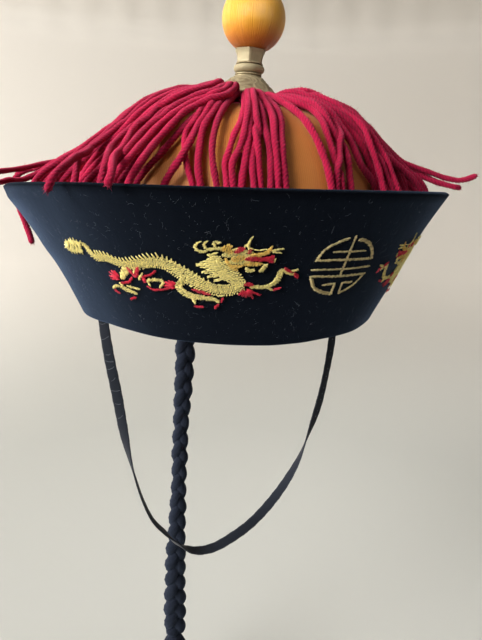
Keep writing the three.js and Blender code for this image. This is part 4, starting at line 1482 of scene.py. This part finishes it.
def add_fuzz(heap, line, radius, rng, shade_value):
    """Fine fibres that stand off one yarn, each a sliver with four faces, more of them at the yarn's tip."""
    forward, across, beside = frames_along(line)
    tip = 16
    count = int(len(line) * 1.7) + tip
    level = rng.integers(len(line) // 6, len(line), count)
    level[:tip] = len(line) - 1 - rng.integers(0, 3, tip)
    angle = rng.uniform(0, 2 * math.pi, count)
    outward = np.cos(angle)[:, None] * across[level] + np.sin(angle)[:, None] * beside[level]
    along = forward[level] * rng.normal(0, 1.1, count)[:, None]
    along[:tip] = forward[level[:tip]] * 2.0
    direction = unit(outward + along)
    reach = rng.uniform(0.0012, 0.0028, count)
    reach[:tip] = rng.uniform(0.001, 0.0022, tip)
    root = line[level] + outward * (radius[level] * 0.8)[:, None]
    sideways = unit(np.cross(direction, forward[level] + 0.3))
    upwards = np.cross(direction, sideways)
    width = np.where(np.arange(count) < tip, 0.00011, 0.00008)[:, None]
    corners = [root + width * (math.cos(a) * sideways + math.sin(a) * upwards) for a in (0, 2.094, 4.189)]
    end = root + direction * reach[:, None]
    points = np.stack([*corners, end], axis=1).reshape(-1, 3)
    base = np.arange(count)[:, None] * 4
    faces = np.concatenate([base + np.array(f) for f in ((0, 1, 3), (1, 2, 3), (2, 0, 3), (0, 2, 1))])
    heap.add(points, np.empty((0, 4)), faces, groove=1.0, shade=shade_value * 0.5)


# Embroidery

# Each stroke: how it is filled, thread, layer, points (mm round from the front, mm up) and full widths.
ACROSS, ALONG = "across", "along"
DRAGON = [
    (ACROSS, "gold", 0, [(-131.5, 52), (-129, 51), (-128.5, 48.5), (-127.5, 46), (-125, 45), (-119, 45.5),
     (-114, 44.2), (-110, 42.7), (-105, 43), (-100, 44), (-95, 45.3), (-90, 46), (-86, 45.3), (-81, 42),
     (-76, 38.5), (-71, 35), (-66, 33), (-60, 32.5), (-55, 33.5), (-51.5, 35.5)],
     [2.6, 3.2, 4.0, 4.0, 4.4, 4.6, 5.0, 4.8, 5.6, 6.0, 6.0, 6.8, 7.2, 8.4, 8.8, 8.0, 7.6, 7.0, 7.0, 6.4]),
    (ACROSS, "gold", 1, [(-51.5, 35), (-54, 39), (-58, 42.5), (-62, 46), (-63.5, 50.5)],
     [6.0, 8.0, 9.2, 9.4, 6.4]),
    (ALONG, "gold", 2, [(-61, 47.5), (-66, 47), (-72, 46)], [7.0, 5.0, 0.6]),
    (ALONG, "gold", 2, [(-60, 44.5), (-65, 43.5), (-70, 42.2)], [4.0, 3.0, 0.5]),
    (ALONG, "gold", 2, [(-58, 42.5), (-63, 41), (-67.5, 39.6)], [4.0, 2.6, 0.5]),
    (ALONG, "gold", 2, [(-57, 40.5), (-60.5, 39), (-64.5, 37.3)], [3.0, 2.0, 0.5]),
    (ALONG, "gold", 2, [(-63, 50), (-66.5, 52.4)], [3.0, 0.6]),
    (ACROSS, "gold", 2, [(-60, 52.2), (-56, 52), (-51, 51.9), (-46, 51.8)], [3.2, 3.4, 2.8, 1.4]),
    (ACROSS, "gold", 2, [(-57.5, 48.6), (-52, 48.4), (-47, 49.2)], [2.6, 2.8, 1.8]),
    (ACROSS, "gold", 2, [(-55.5, 55.2), (-51, 54.4), (-47, 54)], [2.2, 1.8, 1.2]),
    (ACROSS, "ochre", 3, [(-60.5, 55), (-58, 56), (-55.8, 56.8)], [3.0, 4.4, 3.4]),
    (ACROSS, "ochre", 3, [(-58.5, 53.8), (-55.5, 53.8)], [2.6, 2.8]),
    (ACROSS, "gold", 3, [(-60, 55.5), (-63.5, 55.4), (-66.5, 55)], [2.0, 1.8, 1.8]),
    (ACROSS, "gold", 3, [(-66.5, 55), (-67.5, 57.5), (-65.8, 59.2)], [1.6, 1.3, 1.0]),
    (ACROSS, "gold", 3, [(-62.5, 56), (-63.5, 58.5), (-60.5, 58.5)], [1.6, 1.6, 1.3]),
    (ACROSS, "gold", 3, [(-66.5, 54), (-69.5, 53.8), (-71.3, 55.8), (-70, 58), (-68.6, 58.8)],
     [1.8, 1.8, 1.6, 1.0, 0.6]),
    (ACROSS, "gold", 3, [(-64.5, 52.3), (-62, 53.3)], [1.2, 1.0]),
    (ACROSS, "red", 4, [(-54.5, 54), (-52.5, 55.2), (-50.5, 55.8)], [2.6, 3.2, 2.0]),
    (ACROSS, "red", 4, [(-49, 53.5), (-47.5, 55.5)], [2.2, 1.8]),
    (ACROSS, "gold", 4, [(-48.8, 55.5), (-49, 58.5), (-47.4, 62.3)], [1.4, 1.3, 0.7]),
    (ACROSS, "gold", 4, [(-50.6, 56.8), (-49.6, 58.2)], [1.2, 0.8]),
    (ALONG, "gold", 4, [(-50, 57.5), (-48, 56), (-43, 55.2), (-41, 56)], [0.9, 1.0, 1.0, 0.8]),
    (ACROSS, "ochre", 4, [(-47.8, 52.8), (-43, 53.2), (-40.5, 54.5), (-39, 57.5)], [2.0, 2.4, 2.6, 1.4]),
    (ACROSS, "gold", 4, [(-38.6, 55.5), (-34, 56.2)], [1.2, 0.9]),
    (ACROSS, "gold", 4, [(-38.6, 54.6), (-34.7, 54)], [1.2, 0.9]),
    (ACROSS, "red", 4, [(-50, 50.5), (-44, 50.6), (-39, 50.9), (-37.6, 52.4)], [3.0, 3.2, 3.2, 1.8]),
    (ACROSS, "red", 4, [(-39.5, 49.6), (-37.4, 49)], [2.4, 1.6]),
    (ACROSS, "ochre", 3, [(-56, 50.3), (-53, 50.4), (-50.5, 50.4)], [3.8, 4.8, 4.4]),
    (ACROSS, "ochre", 3, [(-58.5, 50.5), (-57.6, 47.5), (-55.8, 45.3), (-53.5, 44.2)], [1.8, 2.2, 2.4, 2.0]),
    (ACROSS, "ochre", 3, [(-56.6, 46.9), (-54, 46.1), (-51, 46.6)], [1.6, 2.4, 2.0]),
    (ACROSS, "gold", 3, [(-55.8, 53), (-50.3, 53.4)], [1.2, 1.2]),
    (ACROSS, "ochre", 3, [(-50.5, 47.8), (-46, 47.7), (-42.5, 47.9)], [2.8, 2.8, 2.0]),
    (ACROSS, "gold", 4, [(-49.3, 45.8), (-48, 44.2), (-45.8, 44.5)], [2.6, 3.0, 2.0]),
    (ACROSS, "gold", 4, [(-43.6, 44.2), (-42, 45.4), (-40.3, 48)], [2.2, 3.0, 1.8]),
    (ACROSS, "gold", 4, [(-37.2, 49.2), (-36.8, 51)], [1.2, 0.9]),
    (ACROSS, "gold", 2, [(-47, 35), (-44, 35), (-41, 35), (-38.5, 35.5), (-36, 37), (-34, 40), (-33.2, 43),
     (-31.8, 45)], [2.2, 2.2, 2.2, 2.5, 3.0, 3.4, 3.2, 2.2]),
    (ACROSS, "gold", 3, [(-31.8, 44.3), (-29.5, 43), (-27.3, 42)], [2.0, 2.0, 1.6]),
    (ACROSS, "gold", 3, [(-29, 43.8), (-25.3, 44.8)], [1.6, 1.4]),
    (ACROSS, "gold", 3, [(-39.5, 35), (-36, 33.4)], [1.8, 1.5]),
    (ACROSS, "red", 4, [(-32, 46), (-30, 44.6), (-28.3, 43.6)], [1.6, 2.0, 1.4]),
    (ACROSS, "red", 4, [(-27, 43), (-26, 42), (-24.8, 40.3)], [1.8, 2.2, 1.2]),
    (ACROSS, "red", 4, [(-35.7, 33.5), (-32.2, 34.9)], [1.8, 1.2]),
    (ACROSS, "red", 3, [(-50, 36.7), (-46, 35.9)], [3.0, 2.2]),
    (ACROSS, "gold", 2, [(-79, 37), (-82, 33.5), (-80, 30), (-76, 28.2), (-70, 27.5), (-64.5, 27),
     (-62.6, 25.4)], [4.2, 4.2, 4.4, 4.0, 3.0, 2.6, 2.0]),
    (ACROSS, "gold", 3, [(-75.5, 27.2), (-75.2, 24)], [2.4, 2.0]),
    (ACROSS, "red", 4, [(-75.4, 22.6), (-70.7, 22.4)], [1.8, 1.5]),
    (ACROSS, "red", 4, [(-64.9, 22), (-62.7, 24.6)], [1.8, 1.6]),
    (ACROSS, "red", 4, [(-61.3, 25.8), (-60.3, 28.5)], [1.5, 1.3]),
    (ACROSS, "gold", 3, [(-63, 29.3), (-60, 29.6)], [1.4, 1.2]),
    (ACROSS, "red", 3, [(-75.5, 32.3), (-71, 31), (-66.8, 29.8)], [1.6, 2.2, 1.4]),
    (ACROSS, "gold", 2, [(-98.5, 35), (-95, 35.8), (-91, 36), (-89.5, 34.3)], [2.0, 2.0, 2.0, 1.8]),
    (ACROSS, "gold", 3, [(-98.3, 35), (-97.5, 32.2)], [1.7, 1.4]),
    (ACROSS, "gold", 3, [(-89.8, 35), (-92.3, 31.8)], [1.9, 1.5]),
    (ACROSS, "red", 4, [(-99, 32), (-96.5, 30.3), (-92, 30.6), (-88, 32)], [1.2, 1.3, 1.3, 1.2]),
    (ACROSS, "red", 3, [(-107.5, 41.5), (-104.5, 36.5)], [2.4, 2.4]),
    (ACROSS, "red", 3, [(-101, 42.5), (-104, 37)], [2.2, 2.6]),
    (ACROSS, "red", 3, [(-92, 41.5), (-96, 38.5), (-100, 37.5)], [1.2, 1.3, 1.6]),
    (ACROSS, "red", 3, [(-100, 38), (-100, 34)], [2.4, 2.4]),
    (ACROSS, "gold", 4, [(-103.5, 41), (-104.5, 39)], [1.2, 1.0]),
    (ACROSS, "gold", 4, [(-99.5, 39.5), (-102.8, 35.5)], [1.6, 1.6]),
    (ACROSS, "gold", 2, [(-107.5, 40.5), (-111, 38), (-114, 34.5)], [4.6, 4.4, 2.6]),
    (ACROSS, "red", 3, [(-106.5, 36), (-110, 33), (-115.5, 31.5)], [1.5, 1.6, 1.5]),
    (ACROSS, "gold", 3, [(-116, 31.8), (-115, 30)], [2.2, 2.4]),
    (ACROSS, "gold", 3, [(-117, 29.2), (-112, 27.7), (-107.3, 26.2)], [3.0, 3.2, 2.2]),
    (ACROSS, "gold", 3, [(-112, 30.3), (-104.5, 29.4)], [1.8, 1.6]),
    (ACROSS, "gold", 3, [(-117.5, 29.6), (-121, 28.9), (-122.7, 27.4)], [2.0, 2.0, 1.4]),
    (ACROSS, "red", 4, [(-122, 26.6), (-119, 25)], [2.2, 1.8]),
    (ACROSS, "red", 4, [(-113, 22.4), (-108.5, 24.1)], [1.7, 1.5]),
]
# Flames: root and tips of tongues that fan out, with their width at the root.
FLAMES = [
    ((-49.2, 33), [(-53, 30), (-51, 29), (-49, 28.4), (-47, 29), (-45, 28.4), (-41.5, 30.3)], 2.4),
    ((-84, 33.5), [(-90, 31), (-90.3, 33), (-89.5, 35.5), (-87, 36.6), (-85, 36.2)], 2.4),
    ((-115.3, 34.6), [(-121, 37), (-119, 38.7), (-116.8, 39), (-121.9, 34.8), (-121.6, 33)], 2.4),
]

# Middle of the tail's tuft, which fans out all round.
TAIL_TUFT = (-139.5, 49.8)

# Tips of the tail's tuft, in order round it.
TAIL_TIPS = [(-131.4, 53.9), (-134.2, 54.1), (-136.4, 55.2), (-138.9, 54.6), (-140.8, 54.2), (-143.7, 53.2),
             (-146, 51.8), (-147.6, 49.9), (-149.4, 47.6), (-147.3, 46.1), (-144.4, 45), (-141.8, 45.2),
             (-139.8, 44.8), (-137, 45.6), (-134.7, 45.3), (-133.4, 47.6)]

# Feet of the short spines along the dragon's back.
SPINE_ROOTS = [(-126.5, 48), (-122, 47.7), (-117, 47.3), (-112, 45.8), (-107, 45.4), (-102, 46.4),
               (-97, 47.9), (-92, 49), (-88, 49.3), (-84.5, 47.7), (-80.5, 45.3), (-76, 42.4), (-71.5, 39),
               (-67, 36.6)]

# Strokes of the round ornament, and the width of each.
ROUNDEL = [
    [(-17.5, 49), (-14, 55.5), (-9, 59), (-4, 61.3)], [(1.5, 60.6), (7, 59), (12, 55), (15.5, 49.3)],
    [(-17.5, 49.5), (15.5, 49.5)], [(-0.8, 62.5), (-0.8, 39.5)], [(-10, 54), (8.5, 54)],
    [(-18.5, 44.4), (0, 44.2), (16.5, 44.8)], [(-18, 40.4), (0, 39.8), (16, 40.2)],
    [(-17.5, 40), (-14, 33.8), (-8, 30.8), (-2, 29.5)], [(-2.6, 29.5), (-2.5, 36)], [(-2.5, 35.6),
     (-9.5, 35.2)],
    [(15, 39.6), (11, 34.4), (6, 31), (2.5, 29.5)], [(2.5, 29.5), (2.4, 35.8)], [(2.4, 35.6), (9, 35.6)],
]
ROUNDEL_WIDTHS = [1.5, 2.1, 1.4, 1.4, 1.0, 1.1, 1.4, 2.3, 1.9, 1.2, 1.4, 1.6, 1.3]


class Stitches:
    """Rows of stitches: both ends on the brim's chart, width, layer and a shade, for one thread."""

    def __init__(self):
        self.rows = []

    def add(self, start, end, width, layer, tone):
        self.rows.append((*start, *end, width, layer, tone))

    def piece(self, name, height):
        rows = np.array(self.rows)
        start, end, width, layer, tone = rows[:, :2], rows[:, 2:4], rows[:, 4], rows[:, 5], rows[:, 6]
        lift = 0.12 + layer * 0.17

        def place(share, extra):
            spot = start + (end - start) * share
            return on_brim(spot[:, 0], spot[:, 1], lift + extra)

        first, near, far, last = place(0, 0), place(0.2, 0), place(0.8, 0), place(1, 0)
        direction = unit(last - first)
        outward = unit(place(0.5, 1) - place(0.5, 0))
        right = unit(np.cross(direction, outward)) * (width * MM / 2)[:, None]
        rise = outward * height
        points = np.stack([first, near - right, near + rise, near + right, far - right, far + rise,
                           far + right, last], axis=1).reshape(-1, 3)
        base = np.arange(len(rows))[:, None] * 8
        quads = np.concatenate([base + np.array(f) for f in ((1, 2, 5, 4), (2, 3, 6, 5), (1, 4, 6, 3))])
        corners = ((0, 2, 1), (0, 3, 2), (0, 1, 3), (7, 4, 5), (7, 5, 6), (7, 6, 4))
        triangles = np.concatenate([base + np.array(f) for f in corners])
        heap = Heap()
        heap.add(points, quads, triangles, shade=np.repeat(tone, 8))
        return heap.piece(name)


def stroke_frames(points, widths, spacing):
    points = np.asarray(points, float)
    widths = np.asarray(widths, float)
    if len(points) == 2:
        middle = (points[0] + points[1]) / 2
        points = np.array([points[0], middle, points[1]])
        widths = np.array([widths[0], widths.mean(), widths[1]])
    rows = smooth_line(np.column_stack([points, widths]), spacing)
    forward = unit(np.gradient(rows[:, :2], axis=0))
    left = np.stack([-forward[:, 1], forward[:, 0]], axis=1)
    return rows[:, :2], forward, left, np.maximum(rows[:, 2], 0.3)


def split_run(low, high, longest, offset):
    """Cuts a run into stitches no longer than longest, staggered by offset."""
    cuts = [low]
    place = low + longest * (0.35 + 0.65 * offset)
    while place < high - 0.5:
        cuts.append(place)
        place += longest
    return list(zip(cuts, cuts[1:] + [high]))


def fill_across(stitches, points, widths, layer, width, slant, longest, rng, gap=1.0, ragged=0.3):
    """Satin stitches that cross a stroke at a slant, with round ends and a ragged edge."""
    spots, forward, left, full = stroke_frames(points, widths, width * gap)
    run = run_of(spots)
    for k, (spot, half) in enumerate(zip(spots, full / 2)):
        direction = unit(left[k] + forward[k] * (slant + rng.normal(0, 0.12)))
        nearest_end = min(run[k], run[-1] - run[k])
        half *= min(1, 0.45 + 0.55 * math.sqrt(min(nearest_end / max(half, 0.1), 1)))
        loose = min(ragged, half * 0.6)
        low, high = -half - rng.uniform(-0.5, 1) * loose, half + rng.uniform(-0.5, 1) * loose
        for start, end in split_run(low, high, longest, (k * 0.382) % 1):
            # Besides its random spread, the tone rises and falls every few stitches: painted shade and
            # highlight in rows along the stroke.
            tone = np.clip(rng.normal(0.25, 0.3) + 0.2 * math.sin(k * 1.3), 0, 1)
            stitches.add(spot + direction * start, spot + direction * (end + 0.1),
                         width * rng.uniform(0.8, 1.1), layer + rng.uniform(-0.4, 0.4), tone)


def fill_along(stitches, points, widths, layer, width, longest, rng):
    """Stitches that run with a stroke, ragged where it narrows."""
    spots, _, left, full = stroke_frames(points, widths, 0.4)
    run = run_of(spots)
    rows = max(int(round(full.max() / width)), 1)
    for k in range(rows):
        place = ((k + 0.5) / rows - 0.5) * full.max()
        inside = np.flatnonzero(np.abs(place) <= full / 2 + 0.02)
        if len(inside) < 2:
            continue
        low = max(run[inside[0]] - rng.uniform(0, 1.3), 0)
        high = min(run[inside[-1]] + rng.uniform(0, 1.3), run[-1])
        for start, end in split_run(low, high, longest, (k * 0.382) % 1):
            ends = []
            for where in (start, min(end + 0.3, run[-1])):
                level = int(np.clip(np.searchsorted(run, where), 0, len(run) - 1))
                ends.append(spots[level] + left[level] * (place + rng.normal(0, 0.12)))
            tone = np.clip(rng.normal(0.3, 0.3), 0, 1)
            if np.linalg.norm(ends[1] - ends[0]) > 0.3:
                stitches.add(ends[0], ends[1], width, layer + rng.uniform(-0.4, 0.4), tone)


def fill_scales(stitches, points, widths, layer, width, rng):
    """A bed of stitches in the darkest tone, painted shade between the short slanting ones over it in
    staggered lanes, like scales.
    """
    bed = len(stitches.rows)
    fill_across(stitches, points, np.array(widths) * 0.88, layer, width, 0.5, 9, rng, 1.15, 0.1)
    # The bed takes the darkest tone: painted shade that shows in the gaps between the scales.
    stitches.rows[bed:] = [(*row[:-1], 0.95) for row in stitches.rows[bed:]]
    step = 1.12
    spots, forward, left, full = stroke_frames(points, widths, step)
    lanes = max(int(round(full.max() / 1.45)), 2)
    for lane in range(lanes):
        share = (lane + 0.5) / lanes - 0.5
        for k in range(len(spots)):
            ahead = ((lane * 0.62) % 1) * step + rng.normal(0, 0.14)
            aside = rng.normal(0, 0.12)
            middle = spots[k] + left[k] * (share * full[k] + aside) + forward[k] * ahead
            direction = unit(left[k] + forward[k] * ((0.75 if lane % 2 else 0.3) + rng.normal(0, 0.18)))
            reach = full[k] / lanes * rng.uniform(0.45, 0.66)
            tone = np.clip(rng.normal(0.22, 0.26), 0, 1)
            stitches.add(middle - direction * reach, middle + direction * reach,
                         width * rng.uniform(0.9, 1.3), layer + 1.3 + rng.uniform(-0.2, 0.6), tone)


def stitch_tuft(thread, turn, width, rng):
    """Spiky stitches from a short spine to a ring of tips, with two rings of shorter ones over them."""
    tips = np.array(TAIL_TIPS + TAIL_TIPS[:1])
    places = np.linspace(0, len(tips) - 1, 49)[:-1]
    ring = np.stack([np.interp(places, np.arange(len(tips)), column) for column in tips.T], axis=1)
    middle = np.clip(ring[:, 0], TAIL_TUFT[0] - 4.5, TAIL_TUFT[0] + 5)
    spine = np.stack([middle, np.full(48, TAIL_TUFT[1])], axis=1)
    ray = ring - spine
    for start, end, layer, every in ((0.25, 1.0, 1.8, 1), (0.05, 0.7, 2.8, 2), (-0.2, 0.42, 3.6, 3)):
        for k in range(0, 48, every):
            reach = end * (1.05 if k % 3 == 0 else 0.82) * rng.uniform(0.95, 1.05)
            root = spine[k] + ray[k] * start + rng.normal(0, 0.12, 2)
            thread.add(root * turn, (spine[k] + ray[k] * reach) * turn, width * 1.1,
                       layer + rng.uniform(-0.3, 0.3), np.clip(rng.normal(0.25, 0.3), 0, 1))


def stitch_dragon(threads, sizes, seed, mirrored):
    rng = np.random.default_rng(seed)
    width = sizes.stitch_width / MM
    turn = np.array([-1, 1]) if mirrored else np.array([1, 1])
    for fill, thread, layer, points, widths in DRAGON:
        points = np.array(points) * turn
        widths = np.array(widths) * (0.88 if layer > 2 else 0.94)
        if fill == ALONG:
            fill_along(threads[thread], points, widths, layer, width, 2.6, rng)
        elif max(widths) > 6.2:
            fill_scales(threads[thread], points, widths, layer, width, rng)
        else:
            fill_across(threads[thread], points, widths, layer, width * 0.92, 0.45, 3.2, rng, 1.0, 0.45)
    for root, tips, root_width in FLAMES:
        for tip in tips:
            fill_along(threads["red"], np.array([root, tip]) * turn, [root_width, 0.7], 2, width, 9, rng)
    stitch_tuft(threads["gold"], turn, width, rng)
    spots, _, left, _ = stroke_frames(SPINE_ROOTS, [1] * len(SPINE_ROOTS), 2.15)
    for k, (spot, aside) in enumerate(zip(spots, left)):
        tall = 1.6 + 0.6 * k / len(spots) + rng.uniform(-0.4, 0.4)
        tip = spot + aside * tall + np.array([-0.9 + rng.normal(0, 0.2), 0])
        for shift in (-0.35, 0.35):
            root = spot - aside * 0.9 + np.array([shift, 0])
            threads["gold"].add(root * turn, tip * turn, width * 0.8, 1, rng.uniform(0, 0.4))


def make_embroidery(sizes, colours, seed):
    threads = {name: Stitches() for name in ("gold", "ochre", "red")}
    stitch_dragon(threads, sizes, seed, False)
    stitch_dragon(threads, sizes, seed + 1, True)
    roundel = Stitches()
    rng = np.random.default_rng(seed + 2)
    for layer, (points, wide) in enumerate(zip(ROUNDEL, ROUNDEL_WIDTHS)):
        widths = [wide] * len(points)
        fill_across(roundel, points, widths, layer % 3, sizes.stitch_width / MM, 0.75, 9, rng, 1.1, 0.45)
    for name, slot, colour in (("gold", "gold_thread", colours.gold), ("ochre", "gold_thread", colours.ochre),
                               ("red", "yarn", colours.red)):
        piece = threads[name].piece("dragons_" + name, sizes.stitch_height)
        dress(piece, stitch_finish(name + "_stitches", colour, 0.42), slot)
    piece = roundel.piece("round_ornament", sizes.stitch_height)
    dress(piece, stitch_finish("khaki_stitches", colours.khaki, 0.3), "gold_thread")


# Lint

# How many hairs and specks there are, and how far round the brim from the front they lie, in mm.
HAIRS, SPECKS = 760, 800
LINT_SPAN = (-230, 185)


def make_lint(colours, seed):
    """Pale fine hairs and specks caught in the velvet."""
    rng = np.random.default_rng(seed)
    heap = Heap()
    angles = np.radians([0, 120, 240])
    steps = 8
    for _ in range(HAIRS):
        across, height = rng.uniform(*LINT_SPAN), rng.uniform(3, 81)
        heading, curl = rng.uniform(0, 2 * math.pi), rng.normal(0, 0.3)
        length = rng.uniform(0.12, 0.62) ** 1.3
        turns = heading + curl * np.arange(steps) + rng.normal(0, 0.16, steps)
        chart = np.cumsum(np.stack([np.cos(turns), np.sin(turns)], axis=1) * length, axis=0)
        spot = chart + np.array([across, height])
        spot[:, 1] = np.clip(spot[:, 1], 1, 83)
        lift = 0.1 + 0.3 * np.abs(np.sin(np.linspace(0, rng.uniform(1.5, 3.4), steps)))
        line = on_brim(spot[:, 0], spot[:, 1], lift)
        heap.add(*tube(line, angles, rng.uniform(0.00001, 0.000026)))
    for _ in range(SPECKS):
        across, height = rng.uniform(*LINT_SPAN), rng.uniform(2, 82)
        line = on_brim(across + np.array([0, 0.1, 0.2]), np.full(3, height), 0.15)
        heap.add(*tube(line, angles, np.array([[0.4], [1], [0.4]]) * rng.uniform(0.00003, 0.00009)))
    dress(heap.piece("velvet_lint"), lint_finish(colours), "velvet")


# Operators and panel


class HatStep:
    """What the operators share: each gives its own make() the scene's values."""

    def execute(self, context):
        scene = context.scene
        self.make(scene.hat_sizes, scene.hat_colours, scene.hat_stage)
        return {"FINISHED"}


class HAT_OT_stage(HatStep, bpy.types.Operator):
    """Add the camera, the lights and the pale floor"""

    bl_idname = "hat.stage"
    bl_label = "Stage"

    def make(self, sizes, colours, stage):
        make_stage(stage, colours)


class HAT_OT_chin_strap(HatStep, bpy.types.Operator):
    """Add the chin strap with its cross stitches"""

    bl_idname = "hat.chin_strap"
    bl_label = "Chin strap"

    def make(self, sizes, colours, stage):
        make_strap(sizes, colours)


class HAT_OT_plait(HatStep, bpy.types.Operator):
    """Add the plait with its tie and tuft"""

    bl_idname = "hat.plait"
    bl_label = "Plait"

    def make(self, sizes, colours, stage):
        make_braid(sizes, colours, np.random.default_rng(stage.seed))


class HAT_OT_brim(HatStep, bpy.types.Operator):
    """Add the velvet brim"""

    bl_idname = "hat.brim"
    bl_label = "Brim"

    def make(self, sizes, colours, stage):
        make_brim(sizes, colours)


class HAT_OT_crown(HatStep, bpy.types.Operator):
    """Add the satin crown"""

    bl_idname = "hat.crown"
    bl_label = "Crown"

    def make(self, sizes, colours, stage):
        make_crown(sizes, colours)


class HAT_OT_finial(HatStep, bpy.types.Operator):
    """Add the brass finial and its wound ball"""

    bl_idname = "hat.finial"
    bl_label = "Finial"

    def make(self, sizes, colours, stage):
        make_finial(colours)


class HAT_OT_fringe(HatStep, bpy.types.Operator):
    """Add the fringe, yarn by yarn"""

    bl_idname = "hat.fringe"
    bl_label = "Fringe"

    def make(self, sizes, colours, stage):
        make_fringe(sizes, colours, stage.seed)


class HAT_OT_embroidery(HatStep, bpy.types.Operator):
    """Add the stitched dragons and the round ornament"""

    bl_idname = "hat.embroidery"
    bl_label = "Embroidery"

    def make(self, sizes, colours, stage):
        make_embroidery(sizes, colours, stage.seed)


class HAT_OT_lint(HatStep, bpy.types.Operator):
    """Add pale fibres on the velvet"""

    bl_idname = "hat.lint"
    bl_label = "Lint"

    def make(self, sizes, colours, stage):
        make_lint(colours, stage.seed)


STEPS = ["stage", "chin_strap", "plait", "brim", "crown", "finial", "fringe", "embroidery", "lint"]


class HAT_PT_pieces(bpy.types.Panel):
    bl_idname = "HAT_PT_pieces"
    bl_label = "Mandarin hat"
    bl_space_type = "VIEW_3D"
    bl_region_type = "UI"
    bl_category = "Hat"

    def draw(self, context):
        for step in STEPS:
            self.layout.operator("hat." + step)
        for group in (context.scene.hat_sizes, context.scene.hat_colours, context.scene.hat_stage):
            for key in group.__annotations__:
                self.layout.prop(group, key)


CLASSES = [HatSizes, HatColours, HatStage, HAT_OT_stage, HAT_OT_chin_strap, HAT_OT_plait, HAT_OT_brim,
           HAT_OT_crown, HAT_OT_finial, HAT_OT_fringe, HAT_OT_embroidery, HAT_OT_lint, HAT_PT_pieces]


def register():
    for item in CLASSES:
        bpy.utils.register_class(item)
    bpy.types.Scene.hat_sizes = PointerProperty(type=HatSizes)
    bpy.types.Scene.hat_colours = PointerProperty(type=HatColours)
    bpy.types.Scene.hat_stage = PointerProperty(type=HatStage)


def unregister():
    del bpy.types.Scene.hat_stage
    del bpy.types.Scene.hat_colours
    del bpy.types.Scene.hat_sizes
    for item in reversed(CLASSES):
        bpy.utils.unregister_class(item)


def main():
    register()
    for step in STEPS:
        getattr(bpy.ops.hat, step)()


if __name__ == "__main__":
    main()
